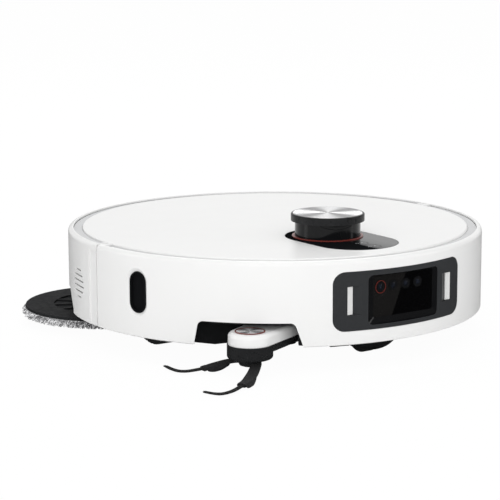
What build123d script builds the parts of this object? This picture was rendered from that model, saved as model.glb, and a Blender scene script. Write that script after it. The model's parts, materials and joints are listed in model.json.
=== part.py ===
from build123d import *
import os
from math import atan2, cos, degrees, hypot, radians, sin

os.makedirs("parts", exist_ok=True)

# A round robot vacuum cleaner and mop, in millimetres.
# Origin: the centre of the flat belly of the base plate. +Z is up, -Y is the front, and the
# robot's own right-hand side is -X. Angles around the body start at the front and grow
# towards the right-hand side. The floor is FLOOR below the belly.
FLOOR = -12.0
GAP = 0.3          # plain clearance between pieces that don't touch
RUN = 0.05         # radial clearance of a running fit

# Outer casing
BODY_R = 175.0
SKIRT_Z = 8.4
RIM_Z = 76.0
SHOULDER_R = 3.5
LIP_R = 170.5
LIP_Z = 74.7
BUMPER_WALL = 2.0
SHELL_WALL = 2.5
BUMPER_END = 91.0      # the bumper's ends, in degrees from the front
SHELL_START = 92.0     # where the rear shell begins
STRIP_END = 95.6
BRIDGE_START = 89.2    # the bridge across the groove, split by the gap
BRIDGE_END = 92.9
TONGUE_START = 89.4    # a tongue of the rear shell stands behind the gap at each end of the bumper
TONGUE_IN = 170.9
TONGUE_OUT = 172.6
TONGUE_LOW = 12.5
TONGUE_HIGH = 73.0

# Top
COVER_R = 163.0
COVER_T = 2.0
DECK_Z = 71.5
GROOVE_Z = 74.5
DECK_R = 170.4
DECK_CHAMFER = 0.3
PANEL_R = 35.0
TURRET_Y = -73.3
PANEL_FRONT_Y = -110.0
KEY_YS = (-115.5, -132.0)
KEY_R = 7.0

# Base plate
PAN_R = 166.0
BELLY_R = 135.0        # the belly is flat to here, and rises as a cone beyond
PAN_EDGE_Z = 8.0
PAN_T = 3.0
PAN_WALL = 2.5
PAN_WALL_TOP = 30.0
BOSS_INSET = 1.1       # how far into the cone's thickness the bosses reach

# Drive wheels
WHEEL_R = 33.0
WHEEL_Z = FLOOR + WHEEL_R
TYRE_IN = 108.0
TYRE_OUT = 126.0
HUB_R = 24.0
SUSPENSION_Y = -29.0
SUSPENSION_Z = 27.0
AXLE_R = 3.0
ARCH_IN = 86.5
ARCH_OUT = 129.5
ARCH_Y = 38.0
ARCH_TOP = 59.0

# Castor
CASTOR_Y = -128.0
CASTOR_TRAIL = 6.0
CASTOR_R = 15.0
CASTOR_SOCKET_R = 22.0
CASTOR_AXLE_R = 2.0
CASTOR_WIDTH = 13.0
CASTOR_DOME_Z = -8.0
CASTOR_DRUM_TOP = 23.0

# Main brush
BRUSH_Y = -53.0
BRUSH_Z = 10.0
BRUSH_R = 20.0
BRUSH_HALF = 82.0
CHAMBER_R = 22.5
CHAMBER_HALF = 83.0
CHAMBER_TOP = 35.0
BRUSH_JOURNAL_R = 4.0

# Side brush arm
ARM_PIVOT = (-66.5, -104.5)
ARM_TIP = (-120.0, -131.7)
ARM_TIP_R = 18.0
ARM_PIVOT_R = 20.0
ARM_BOTTOM = 1.0
ARM_LINK_Z = 7.0               # the link is thinner than the drum at its tip
ARM_SPLIT = 12.5
ARM_TOP = 22.0
ARM_PIN_R = 5.0
ARM_SWEEP = 40
POCKET_TOP = 24.5
ARM_MOUTH = (34, 160)          # the pocket's mouth reaches further round the front: an angle and a radius
ARM_MOUTH_R = 12.0
OPENING = 43.1                 # the middle of the bumper's opening for the arm, an angle
OPENING_LOW = (-43.6, 44.2)    # how far it reaches to each side at the bottom, and at the top
OPENING_HIGH = (-39.5, 36.5)
OPENING_CORNER = 5.0

# Mops
MOP_OUT = (-104.6, 103.0)      # right-hand mop, swung out
MOP_IN_X = 73.0
MOP_IN_Y = 97.0
MOP_R = 70.5
PAD_R = 71.5
PAD_BOTTOM = FLOOR + 7.0       # the mops rest lifted, and drop to reach the floor
PLATE_Z = 1.2
PLATE_TOP = 3.2
PLATE_RECESS_R = 46.0
PLATE_HUB_R = 18.0
PLATE_RIBS = 14
PLATE_RIB_W = 3.4
PLATE_RECESS_DEPTH = 1.4
LIFTER_TOP = 25.8
MOP_ARM_REACH = 50.0
MOP_ARM_BOTTOM = 15.0
MOP_ARM_TOP = 26.4
SPINDLE_R = 6.0
LIFTER_R = 11.0
BAY_MARGIN = 6.5
BAY_TOP = 27.5
BAY_ROOF_T = 3.0

# Lidar turret
TOWER_R = 27.0
TOWER_TOP = 89.0
CAP_R = 30.3
CAP_TOP = 95.3
DISC_R = 28.6
ROTOR_R = 23.0
ACCENT_R = 29.4
ACCENT_T = 0.8

# Front sensor module, on the bumper
MODULE_HALF = 63.4
MODULE_LOW = 19.5
MODULE_HIGH = 66.3
MODULE_BACK_R = 169.0
MODULE_FRONT_R = 175.2
MODULE_CORNER = 9.5
RECESS_W = 72.0                # the recess around the camera glass, bevelled from RECESS_Y inwards
RECESS_H = 39.6
RECESS_CORNER = 5.0
RECESS_X = 0.4
RECESS_Z = 42.6
RECESS_Y = -171.3
GLASS_W = 60.0
GLASS_H = 33.0
GLASS_X = 1.1
GLASS_Z = 44.1
GLASS_CORNER = 2.5
GLASS_Y = -169.6
GLASS_T = 0.9
LENS_XS = (-21.7, -9.1, 3.6, 15.8)
LENS_Z = 51.7
LENS_R = 4.2
LENS_RING_IN = 4.6
LENS_RING_OUT = 5.2
STRIP_LOW = 32.3               # the light windows, which face straight ahead
STRIP_HIGH = 54.4
STRIP_IN = 47.1
STRIP_OUT = 52.1
STRIP_Y = -165.9
NOTCH_START = 13.0             # the angle where the ramp beside each light window begins
NOTCH_MARGIN = 0.6

# Right-hand wall sensor, on the bumper
WALL_SENSOR = 74.8
WALL_SENSOR_Z = 44.25
WALL_SENSOR_W = 16.2
WALL_SENSOR_H = 33.0
WALL_SENSOR_BEVEL = 4.6

# Exhaust vents in the rear shell: height and half-length of each slot
VENT_ANGLE = 103.4
VENT_TOP = 49.4
VENT_PITCH = 4.5
VENT_HALVES = (6.4, 10.2, 11.8, 12.5, 10.1, 5.7)


def around(angle, radius, z=0.0):
    """The point at an angle from the front, positive towards the right-hand side (-X)."""
    a = radians(angle)
    return (-radius * sin(a), -radius * cos(a), z)


def radial_plane(angle):
    """The upright plane through the body's axis whose local x runs outward at this angle."""
    a = radians(angle)
    return Plane(origin=(0, 0, 0), x_dir=(-sin(a), -cos(a), 0), z_dir=(-cos(a), sin(a), 0))


def side_plane(angle, radius, z=0.0):
    """The upright plane that faces outward at this angle, with local y up."""
    a = radians(angle)
    return Plane(origin=around(angle, radius, z), x_dir=(cos(a), -sin(a), 0), z_dir=(-sin(a), -cos(a), 0))


def turned(point, centre, angle):
    """A plan point turned about a centre by an angle in degrees."""
    a = radians(angle)
    dx, dy = point[0] - centre[0], point[1] - centre[1]
    return (centre[0] + dx * cos(a) - dy * sin(a), centre[1] + dx * sin(a) + dy * cos(a))


def casing_section(angle, wall):
    """Section of the outer casing at an angle: a thin wall, a rounded shoulder and a short lip."""
    inner = BODY_R - wall
    with BuildSketch(radial_plane(angle), mode=Mode.PRIVATE) as section:
        with BuildLine():
            Polyline(
                (inner, SKIRT_Z), (BODY_R, SKIRT_Z), (BODY_R, RIM_Z), (LIP_R, RIM_Z),
                (LIP_R, LIP_Z), (inner, LIP_Z), close=True,
            )
        make_face()
        fillet(section.vertices().sort_by_distance((BODY_R, RIM_Z, 0))[0], SHOULDER_R)
        fillet(section.vertices().sort_by_distance((BODY_R, SKIRT_Z, 0))[0], 0.8)
    return section.sketch


def ring_sector(first, last, inner, outer, low, high):
    """A block between two radii and two heights, over a range of angles."""
    with BuildPart(mode=Mode.PRIVATE) as sector:
        with BuildSketch(radial_plane(last)):
            with Locations(((inner + outer) / 2, (low + high) / 2)):
                Rectangle(outer - inner, high - low)
        revolve(axis=Axis.Z, revolution_arc=last - first)
    return sector


def link_plan(first, first_r, last, last_r):
    """The plan of a link: the hull of a circle at each end."""
    with BuildSketch(mode=Mode.PRIVATE) as plan:
        with Locations(first):
            Circle(first_r)
        with Locations(last):
            Circle(last_r)
        make_hull()
    return plan.sketch


# The right-hand mop swings about a post from MOP_OUT to its parked place, the mirror of the left's
MOP_IN = (-MOP_IN_X, MOP_IN_Y)
LEFT_MOP = (MOP_IN_X, MOP_IN_Y)
swing_dx, swing_dy = MOP_IN[0] - MOP_OUT[0], MOP_IN[1] - MOP_OUT[1]
swing_chord = hypot(swing_dx, swing_dy)
MOP_PIVOT = (
    (MOP_OUT[0] + MOP_IN[0]) / 2 + MOP_ARM_REACH * swing_dy / swing_chord,
    (MOP_OUT[1] + MOP_IN[1]) / 2 - MOP_ARM_REACH * swing_dx / swing_chord,
)
MOP_SWING = 2 * degrees(atan2(swing_chord / 2, MOP_ARM_REACH))
MOP_MIDWAY = turned(MOP_OUT, MOP_PIVOT, -MOP_SWING / 2)


def mop_bay(margin):
    """Plan of the space the mops sweep under the rear of the body, grown by a margin."""
    with BuildSketch(mode=Mode.PRIVATE) as plan:
        with Locations(MOP_OUT, MOP_MIDWAY, MOP_IN, LEFT_MOP):
            Circle(MOP_R + margin)
        with Locations((0, MOP_IN_Y + BODY_R / 2)):
            Rectangle(2 * BODY_R, BODY_R)
    return plan.sketch


def arm_pocket(margin):
    """Plan of the space the side brush arm sweeps, grown by a margin."""
    with BuildSketch(mode=Mode.PRIVATE) as plan:
        for angle in range(-ARM_SWEEP, 1, 10):
            tip = turned(ARM_TIP, ARM_PIVOT, angle)
            add(link_plan(ARM_PIVOT, ARM_PIVOT_R + margin, tip, ARM_TIP_R + margin))
        # the mouth is wider than the arm, on its front side
        mouth = around(*ARM_MOUTH)[:2]
        add(link_plan(ARM_PIVOT, ARM_PIVOT_R + margin, mouth, ARM_MOUTH_R + margin))
    return plan.sketch


# ------------------------------------------------------------------ casing and covers

COLUMN_R = 4.0
COLUMN_ANGLES = (75, 100, -60, -100, 180)
COLUMN_REACH = 154.0
SCREW_R = 1.5
SCREW_HEAD_R = 3.0
CLIFF_ANGLES = (16, -16, -48, 88)
CLIFF_REACH = 146.0
CLIFF_Z = 1.6
CONTACT_XS = (-14, 14)
CONTACT_Y = -91.0
CONTACT_LENGTH = 14.0
CONTACT_WIDTH = 7.0
CONTACT_PROUD = 0.6
GUARD_LENGTH = 172.0
GUARD_WIDTH = 54.0
GUARD_T = 1.6


def cone_z(radius):
    """The height of the pan's conical underside at a radius."""
    return PAN_EDGE_Z * (radius - BELLY_R) / (PAN_R - BELLY_R)


def column_foot(angle):
    """The height where a column starts: over the mop bay at the back, on the cone elsewhere."""
    return BAY_TOP if angle == 180 else cone_z(COLUMN_REACH) + BOSS_INSET


def cliff_spots(height):
    """Where the floor sensors sit, each turned to lie along the edge of the pan."""
    return [Location(around(angle, CLIFF_REACH, height), (0, 0, -angle)) for angle in CLIFF_ANGLES]


with BuildPart() as base_plate:
    # bosses: the main brush chamber, the wheel arches, the side brush pocket, the castor socket
    with Locations((0, BRUSH_Y, CHAMBER_TOP / 2)):
        Box(2 * CHAMBER_HALF + 4, 50, CHAMBER_TOP)
    for side in (-1, 1):
        with Locations((side * (ARCH_IN + ARCH_OUT) / 2, 0, ARCH_TOP / 2)):
            Box(ARCH_OUT - ARCH_IN + 3, 2 * ARCH_Y + 3, ARCH_TOP)
    with BuildSketch():
        add(arm_pocket(4))
        Circle(PAN_R - 1, mode=Mode.INTERSECT)
    extrude(amount=POCKET_TOP + 3)
    with Locations((0, CASTOR_Y, 0)):
        Cylinder(CASTOR_SOCKET_R + 3, 34, align=(Align.CENTER, Align.CENTER, Align.MIN))
    # and the mop bay, whose roof covers everything behind
    with BuildSketch():
        add(mop_bay(BAY_MARGIN + 2))
        Circle(PAN_R - 1, mode=Mode.INTERSECT)
    extrude(amount=BAY_TOP + BAY_ROOF_T)
    # the bosses end inside the thickness of the pan's cone
    with BuildSketch(Plane.XZ):
        with BuildLine():
            Polyline(
                (BELLY_R - 4, 0.1), (BELLY_R - 4, -5), (PAN_R + 2, -5),
                (PAN_R + 2, cone_z(PAN_R + 2) + BOSS_INSET), close=True,
            )
        make_face()
    revolve(axis=Axis.Z, mode=Mode.SUBTRACT)
    # the pan itself: flat in the middle, with a raised conical edge and a low wall
    with BuildSketch(Plane.XZ) as pan:
        with BuildLine():
            Polyline(
                (0, 0), (BELLY_R, 0), (PAN_R, PAN_EDGE_Z), (PAN_R, PAN_WALL_TOP),
                (PAN_R - PAN_WALL, PAN_WALL_TOP), (PAN_R - PAN_WALL, PAN_EDGE_Z + 2.6),
                (BELLY_R - 1, PAN_T), (0, PAN_T), close=True,
            )
        make_face()
        fillet(pan.vertices().sort_by_distance((PAN_R, 0, PAN_EDGE_Z))[0], 3)
    revolve(axis=Axis.Z)
    # what the moving pieces need is cut away
    with Locations((0, BRUSH_Y, BRUSH_Z)):
        Cylinder(CHAMBER_R, 2 * CHAMBER_HALF, rotation=(0, 90, 0), mode=Mode.SUBTRACT)
    with Locations((0, BRUSH_Y, BRUSH_Z / 2 - 1)):
        Box(2 * CHAMBER_HALF, 2 * CHAMBER_R, BRUSH_Z + 2, mode=Mode.SUBTRACT)
    with Locations((0, BRUSH_Y, BRUSH_Z)):
        Cylinder(BRUSH_JOURNAL_R + RUN, 2 * CHAMBER_HALF + 6, rotation=(0, 90, 0), mode=Mode.SUBTRACT)
    with Locations((0, BRUSH_Y + 24, BRUSH_Z + 14)):
        Box(70, 12, 14, mode=Mode.SUBTRACT)
    with BuildSketch(Plane.XY.offset(-1)):
        add(mop_bay(BAY_MARGIN))
    extrude(amount=BAY_TOP + 1, mode=Mode.SUBTRACT)
    for side in (-1, 1):
        with Locations((side * (ARCH_IN + ARCH_OUT) / 2, 0, ARCH_TOP / 2 - 1.5)):
            Box(ARCH_OUT - ARCH_IN, 2 * ARCH_Y, ARCH_TOP, mode=Mode.SUBTRACT)
        # the arch stays open inboard, where the drive motor stands
        with Locations((side * ARCH_IN, -1, ARCH_TOP / 2 + PAN_T)):
            Box(8, 30, ARCH_TOP, mode=Mode.SUBTRACT)
    with BuildSketch(Plane.XY.offset(-1)):
        add(arm_pocket(1.2))
    extrude(amount=POCKET_TOP + 1, mode=Mode.SUBTRACT)
    with Locations((0, CASTOR_Y, -1)):
        Cylinder(
            CASTOR_SOCKET_R, 31, align=(Align.CENTER, Align.CENTER, Align.MIN), mode=Mode.SUBTRACT
        )
    # pins: side brush arm, castor, suspension and mop arm
    with Locations((*ARM_PIVOT, ARM_BOTTOM)):
        Cylinder(
            ARM_PIN_R, POCKET_TOP + 1 - ARM_BOTTOM, align=(Align.CENTER, Align.CENTER, Align.MIN)
        )
    with Locations((0, CASTOR_Y, 22)):
        Cylinder(AXLE_R, 9, align=(Align.CENTER, Align.CENTER, Align.MIN))
    for side in (-1, 1):
        with Locations((side * (ARCH_IN + 5), SUSPENSION_Y, SUSPENSION_Z)):
            Cylinder(AXLE_R, 12, rotation=(0, 90, 0))
    with Locations((*MOP_PIVOT, MOP_ARM_BOTTOM - 1)):
        Cylinder(
            SPINDLE_R, BAY_TOP + 2 - MOP_ARM_BOTTOM, align=(Align.CENTER, Align.CENTER, Align.MIN)
        )
    # columns that carry the deck, each with a screw hole from below
    for angle in COLUMN_ANGLES:
        foot = column_foot(angle)
        with Locations(around(angle, COLUMN_REACH, foot)):
            Cylinder(COLUMN_R, DECK_Z - foot, align=(Align.CENTER, Align.CENTER, Align.MIN))
        with Locations(around(angle, COLUMN_REACH, foot)):
            Cylinder(SCREW_R + 0.1, 28, mode=Mode.SUBTRACT)
            Cylinder(SCREW_HEAD_R + 0.2, 5, mode=Mode.SUBTRACT)
    # seats for the floor sensors, the charging contacts and the brush guard
    with Locations(*cliff_spots(0)):
        Box(16.4, 7.4, 30, mode=Mode.SUBTRACT)
    for x in CONTACT_XS:
        with Locations((x, CONTACT_Y, 0)):
            Box(CONTACT_LENGTH + 0.4, CONTACT_WIDTH + 0.4, 2.4, mode=Mode.SUBTRACT)
    with Locations((0, BRUSH_Y, 0)):
        Box(GUARD_LENGTH + 0.8, GUARD_WIDTH + 0.8, 2 * GUARD_T + 0.2, mode=Mode.SUBTRACT)
base_plate.part.label = "base_plate"
export_step(base_plate.part, "parts/base_plate.step")

with BuildPart() as case_screws:
    for angle in COLUMN_ANGLES:
        foot = column_foot(angle)
        with Locations(around(angle, COLUMN_REACH, foot + 0.5)):
            Cylinder(SCREW_HEAD_R, 2, align=(Align.CENTER, Align.CENTER, Align.MIN))
            Cylinder(SCREW_R, 12, align=(Align.CENTER, Align.CENTER, Align.MIN))
        with Locations(around(angle, COLUMN_REACH, foot + 0.5)):
            Box(3.6, 0.7, 1.4, mode=Mode.SUBTRACT)
            Box(0.7, 3.6, 1.4, mode=Mode.SUBTRACT)
case_screws.part.label = "case_screws"
export_step(case_screws.part, "parts/case_screws.step")

BIN_HALF = 62.0
BIN_BACK = 18.0
BIN_FRONT = -25.0
BIN_LOW = 5.0
BIN_HIGH = 69.0

with BuildPart() as top_deck:
    with BuildSketch(Plane.XY.offset(DECK_Z)):
        Circle(DECK_R)
    extrude(amount=GROOVE_Z - DECK_Z)
    chamfer(top_deck.edges().group_by(Axis.Z)[-1], DECK_CHAMFER)
    with BuildSketch(Plane.XY.offset(RIM_Z - COVER_T - 0.2)):
        Circle(COVER_R + GAP)
    extrude(amount=3, mode=Mode.SUBTRACT)
    with BuildSketch(Plane.XY.offset(DECK_Z - 1)):
        with Locations((0, (TURRET_Y + PANEL_FRONT_Y) / 2)):
            SlotCenterToCenter(TURRET_Y - PANEL_FRONT_Y, 2 * (PANEL_R - 1.5 + GAP), rotation=90)
    extrude(amount=5, mode=Mode.SUBTRACT)
    with BuildSketch(Plane.XY.offset(DECK_Z - 1)):
        with Locations((0, (BIN_FRONT + BIN_BACK) / 2)):
            RectangleRounded(2 * BIN_HALF + 3, BIN_BACK - BIN_FRONT + 3, 5)
    extrude(amount=5, mode=Mode.SUBTRACT)
top_deck.part.label = "top_deck"
export_step(top_deck.part, "parts/top_deck.step")

with BuildPart() as rear_shell:
    revolve(casing_section(-SHELL_START, SHELL_WALL), Axis.Z, 360 - 2 * SHELL_START)
    # a shallow recessed strip at each end, and half of a bridge across the groove of the top
    for first in (SHELL_START, -STRIP_END):
        strip = ring_sector(first - 0.5, first + STRIP_END - SHELL_START, BODY_R - 1, BODY_R + 2,
                            SKIRT_Z - 1, RIM_Z - 6)
        add(strip.part, mode=Mode.SUBTRACT)
    for first, last in ((SHELL_START, BRIDGE_END), (-BRIDGE_END, -SHELL_START)):
        add(ring_sector(first, last, COVER_R + GAP, LIP_R + 0.5, LIP_Z, RIM_Z).part)
    for first, last in ((TONGUE_START, SHELL_START + 0.5), (-SHELL_START - 0.5, -TONGUE_START)):
        add(ring_sector(first, last, TONGUE_IN, TONGUE_OUT, TONGUE_LOW, TONGUE_HIGH).part)
    # the mops pass under raised stretches of the skirt
    for first, last, top in ((109.3, 165.0, BAY_TOP), (-165.0, -120.0, 15.0)):
        window = ring_sector(first, last, BODY_R - 10, BODY_R + 5, SKIRT_Z - 5, top)
        with BuildPart(mode=Mode.PRIVATE) as ramped:
            add(window.part)
            ends = ramped.faces().sort_by(Axis.Z)[-1].edges().filter_by(GeomType.LINE)
            chamfer(ends, min(15.0, top - SKIRT_Z))
        add(ramped.part, mode=Mode.SUBTRACT)
    for row, half in enumerate(VENT_HALVES):
        with BuildSketch(side_plane(VENT_ANGLE, BODY_R + 2, VENT_TOP - row * VENT_PITCH)):
            SlotOverall(2 * half, 1.3)
        extrude(amount=-8, mode=Mode.SUBTRACT)
rear_shell.part.label = "rear_shell"
export_step(rear_shell.part, "parts/rear_shell.step")

with BuildPart() as top_cover:
    with BuildSketch(Plane.XY.offset(RIM_Z - COVER_T)):
        Circle(COVER_R)
        with Locations((0, (TURRET_Y + PANEL_FRONT_Y) / 2)):
            SlotCenterToCenter(
                TURRET_Y - PANEL_FRONT_Y, 2 * (PANEL_R + GAP), rotation=90, mode=Mode.SUBTRACT
            )
    extrude(amount=COVER_T)
    fillet(top_cover.edges().group_by(Axis.Z)[-1].sort_by(SortBy.LENGTH)[-1], 1.2)
top_cover.part.label = "top_cover"
export_step(top_cover.part, "parts/top_cover.step")

# ------------------------------------------------------------------ bumper and its sensors


def module_plan(margin, corner):
    """The front module's outline, seen from the front, grown by a margin."""
    height = MODULE_HIGH - MODULE_LOW
    with Locations((0, (MODULE_LOW + MODULE_HIGH) / 2)):
        RectangleRounded(2 * (MODULE_HALF + margin), height + 2 * margin, corner + margin)


with BuildPart() as bumper_shell:
    revolve(casing_section(BUMPER_END, BUMPER_WALL), Axis.Z, 2 * BUMPER_END)
    for first, last in ((BRIDGE_START, BUMPER_END), (-BUMPER_END, -BRIDGE_START)):
        add(ring_sector(first, last, COVER_R + GAP, LIP_R + 0.5, LIP_Z, RIM_Z).part)
    with BuildSketch(Plane.XZ.offset(120)):
        module_plan(GAP, MODULE_CORNER)
    extrude(amount=80, mode=Mode.SUBTRACT)
    # the opening for the side brush arm, wider at the bottom
    with BuildSketch(side_plane(OPENING, BODY_R + 5)) as arm_opening:
        with BuildLine():
            Polyline(
                (OPENING_LOW[0], SKIRT_Z - 3), (OPENING_HIGH[0], POCKET_TOP + 3.2),
                (OPENING_HIGH[1], POCKET_TOP + 3.2), (OPENING_LOW[1], SKIRT_Z - 3), close=True,
            )
        make_face()
        fillet(arm_opening.vertices().group_by(Axis.Y)[-1], OPENING_CORNER)
    extrude(amount=-25, mode=Mode.SUBTRACT)
    # the bevelled opening of the wall sensor
    with BuildSketch(side_plane(WALL_SENSOR, BODY_R + 1, WALL_SENSOR_Z)) as wide:
        SlotOverall(
            WALL_SENSOR_H + 2 * WALL_SENSOR_BEVEL, WALL_SENSOR_W + 2 * WALL_SENSOR_BEVEL, rotation=90
        )
    with BuildSketch(side_plane(WALL_SENSOR, BODY_R - 2, WALL_SENSOR_Z)) as narrow:
        SlotOverall(WALL_SENSOR_H + 2 * GAP, WALL_SENSOR_W + 2 * GAP, rotation=90)
    loft(mode=Mode.SUBTRACT)
    with BuildSketch(side_plane(WALL_SENSOR, BODY_R + 1, WALL_SENSOR_Z)):
        SlotOverall(WALL_SENSOR_H + 2 * GAP, WALL_SENSOR_W + 2 * GAP, rotation=90)
    extrude(amount=-8, mode=Mode.SUBTRACT)
bumper_shell.part.label = "bumper_shell"
export_step(bumper_shell.part, "parts/bumper_shell.step")

with BuildPart() as front_bezel:
    Cylinder(MODULE_FRONT_R, 100, align=(Align.CENTER, Align.CENTER, Align.MIN))
    Cylinder(MODULE_BACK_R, 100, align=(Align.CENTER, Align.CENTER, Align.MIN), mode=Mode.SUBTRACT)
    with BuildSketch(Plane.XZ.offset(120)):
        module_plan(0, MODULE_CORNER)
    extrude(amount=80, mode=Mode.INTERSECT)
    # the recess of the camera glass, bevelled all round
    with BuildSketch(Plane.XZ.offset(-RECESS_Y)) as recess_mouth:
        with Locations((RECESS_X, RECESS_Z)):
            RectangleRounded(RECESS_W, RECESS_H, RECESS_CORNER)
    extrude(amount=10, mode=Mode.SUBTRACT)
    add(recess_mouth.sketch)
    with BuildSketch(Plane.XZ.offset(-GLASS_Y)):
        with Locations((GLASS_X, GLASS_Z)):
            RectangleRounded(GLASS_W, GLASS_H, GLASS_CORNER)
    loft(mode=Mode.SUBTRACT)
    with BuildSketch(Plane.XZ.offset(-GLASS_Y - GLASS_T)):
        with Locations((GLASS_X, GLASS_Z)):
            RectangleRounded(GLASS_W, GLASS_H, GLASS_CORNER)
    extrude(amount=GLASS_T + 0.1, mode=Mode.SUBTRACT)
    # a ramped notch on each side, deepest at the light window
    for side in (-1, 1):
        with BuildSketch(Plane.XY.offset(STRIP_LOW - NOTCH_MARGIN)):
            with BuildLine():
                Polyline(
                    around(-side * NOTCH_START, BODY_R + 1)[:2], (side * STRIP_IN, STRIP_Y),
                    (side * (STRIP_OUT + 0.3), STRIP_Y), (side * (STRIP_OUT + 0.3), -BODY_R),
                    close=True,
                )
            make_face()
        extrude(amount=STRIP_HIGH - STRIP_LOW + 2 * NOTCH_MARGIN, mode=Mode.SUBTRACT)
front_bezel.part.label = "front_bezel"
export_step(front_bezel.part, "parts/front_bezel.step")

with BuildPart() as front_glass:
    with BuildSketch(Plane.XZ.offset(-GLASS_Y - GLASS_T)):
        with Locations((GLASS_X, GLASS_Z)):
            RectangleRounded(GLASS_W - 0.2, GLASS_H - 0.2, GLASS_CORNER)
    extrude(amount=GLASS_T)
front_glass.part.label = "front_glass"
export_step(front_glass.part, "parts/front_glass.step")

with BuildPart() as camera_lenses:
    with BuildSketch(Plane.XZ.offset(-GLASS_Y)):
        with Locations(*[(x, LENS_Z) for x in LENS_XS]):
            Circle(LENS_R)
    extrude(amount=0.8)
    fillet(camera_lenses.edges().group_by(Axis.Y)[0], 0.5)
camera_lenses.part.label = "camera_lenses"
export_step(camera_lenses.part, "parts/camera_lenses.step")

with BuildPart() as lens_ring:
    with BuildSketch(Plane.XZ.offset(-GLASS_Y)):
        with Locations((LENS_XS[0], LENS_Z)):
            Circle(LENS_RING_OUT)
            Circle(LENS_RING_IN, mode=Mode.SUBTRACT)
    extrude(amount=0.6)
lens_ring.part.label = "lens_ring"
export_step(lens_ring.part, "parts/lens_ring.step")

with BuildPart() as light_windows:
    for side in (-1, 1):
        with Locations((side * (STRIP_IN + STRIP_OUT) / 2, STRIP_Y - 0.55, (STRIP_LOW + STRIP_HIGH) / 2)):
            Box(STRIP_OUT - STRIP_IN, 1.0, STRIP_HIGH - STRIP_LOW)
light_windows.part.label = "light_windows"
export_step(light_windows.part, "parts/light_windows.step")

with BuildPart() as wall_sensor_bezel:
    with BuildSketch(side_plane(WALL_SENSOR, BODY_R - 5.5, WALL_SENSOR_Z)):
        SlotOverall(WALL_SENSOR_H, WALL_SENSOR_W, rotation=90)
        SlotOverall(WALL_SENSOR_H - 3, WALL_SENSOR_W - 3, rotation=90, mode=Mode.SUBTRACT)
    extrude(amount=4.5)
wall_sensor_bezel.part.label = "wall_sensor_bezel"
export_step(wall_sensor_bezel.part, "parts/wall_sensor_bezel.step")

with BuildPart() as wall_sensor_window:
    with BuildSketch(side_plane(WALL_SENSOR, BODY_R - 5.5, WALL_SENSOR_Z)):
        SlotOverall(WALL_SENSOR_H - 3.1, WALL_SENSOR_W - 3.1, rotation=90)
    extrude(amount=2)
wall_sensor_window.part.label = "wall_sensor_window"
export_step(wall_sensor_window.part, "parts/wall_sensor_window.step")


def coil(start, direction, length, radius, wire, pitch):
    """A compression spring: a round wire swept along a helix."""
    with BuildPart(mode=Mode.PRIVATE) as spring:
        with BuildLine():
            path = Helix(pitch=pitch, height=length - 2 * wire, radius=radius, center=start, direction=direction)
        with BuildSketch(Plane(origin=path @ 0, z_dir=path % 0)):
            Circle(wire)
        sweep(is_frenet=True)
    return spring


with BuildPart() as bumper_springs:
    for angle in (-25, 25):
        add(coil(around(angle, PAN_R + 1.0, 20), around(angle, 1), 6.2, 2.6, 0.35, 1.3).part)
bumper_springs.part.label = "bumper_springs"
export_step(bumper_springs.part, "parts/bumper_springs.step")

# ------------------------------------------------------------------ control panel

with BuildPart() as control_panel:
    with BuildSketch(Plane.XY.offset(DECK_Z)):
        with Locations((0, (TURRET_Y + PANEL_FRONT_Y) / 2)):
            SlotCenterToCenter(TURRET_Y - PANEL_FRONT_Y, 2 * (PANEL_R - 1.5), rotation=90)
    extrude(amount=RIM_Z - 1.5 - DECK_Z)
    with BuildSketch(Plane.XY.offset(RIM_Z - 2 + 0.1)):
        with Locations((0, (TURRET_Y + PANEL_FRONT_Y) / 2)):
            SlotCenterToCenter(TURRET_Y - PANEL_FRONT_Y, 2 * PANEL_R, rotation=90)
    extrude(amount=1.9)
    with Locations((0, TURRET_Y, DECK_Z)):
        Cylinder(TOWER_R + GAP, 20, mode=Mode.SUBTRACT)
    for y in KEY_YS:
        with Locations((0, y, RIM_Z)):
            Cylinder(KEY_R + GAP, 6, mode=Mode.SUBTRACT)
control_panel.part.label = "control_panel"
export_step(control_panel.part, "parts/control_panel.step")

with BuildPart() as power_button:
    with Locations((0, KEY_YS[1], RIM_Z - 2)):
        Cylinder(KEY_R, 2, align=(Align.CENTER, Align.CENTER, Align.MIN))
    fillet(power_button.edges().group_by(Axis.Z)[-1], 0.3)
power_button.part.label = "power_button"
export_step(power_button.part, "parts/power_button.step")

with BuildPart() as home_button:
    with Locations((0, KEY_YS[0], RIM_Z - 2)):
        Cylinder(KEY_R, 2, align=(Align.CENTER, Align.CENTER, Align.MIN))
    fillet(home_button.edges().group_by(Axis.Z)[-1], 0.3)
home_button.part.label = "home_button"
export_step(home_button.part, "parts/home_button.step")

# ------------------------------------------------------------------ lidar turret

with BuildPart() as accent_ring:
    with BuildSketch(Plane.XY.offset(RIM_Z + 0.02)):
        with Locations((0, TURRET_Y)):
            Circle(ACCENT_R)
            Circle(TOWER_R + 0.1, mode=Mode.SUBTRACT)
    extrude(amount=ACCENT_T)
    fillet(accent_ring.edges().group_by(Axis.Z)[-1], 0.35)
accent_ring.part.label = "accent_ring"
export_step(accent_ring.part, "parts/accent_ring.step")

with BuildPart() as turret_window:
    with Locations((0, TURRET_Y, 62)):
        Cylinder(TOWER_R, TOWER_TOP - 62, align=(Align.CENTER, Align.CENTER, Align.MIN))
    with Locations((0, TURRET_Y, 64)):
        Cylinder(
            TOWER_R - 2, TOWER_TOP - 66, align=(Align.CENTER, Align.CENTER, Align.MIN),
            mode=Mode.SUBTRACT,
        )
    with Locations((0, TURRET_Y, TOWER_TOP)):
        Cylinder(12, 10, mode=Mode.SUBTRACT)
    with Locations((0, TURRET_Y, 62)):
        Cylinder(6 + RUN, 10, mode=Mode.SUBTRACT)
turret_window.part.label = "turret_window"
export_step(turret_window.part, "parts/turret_window.step")

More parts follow.
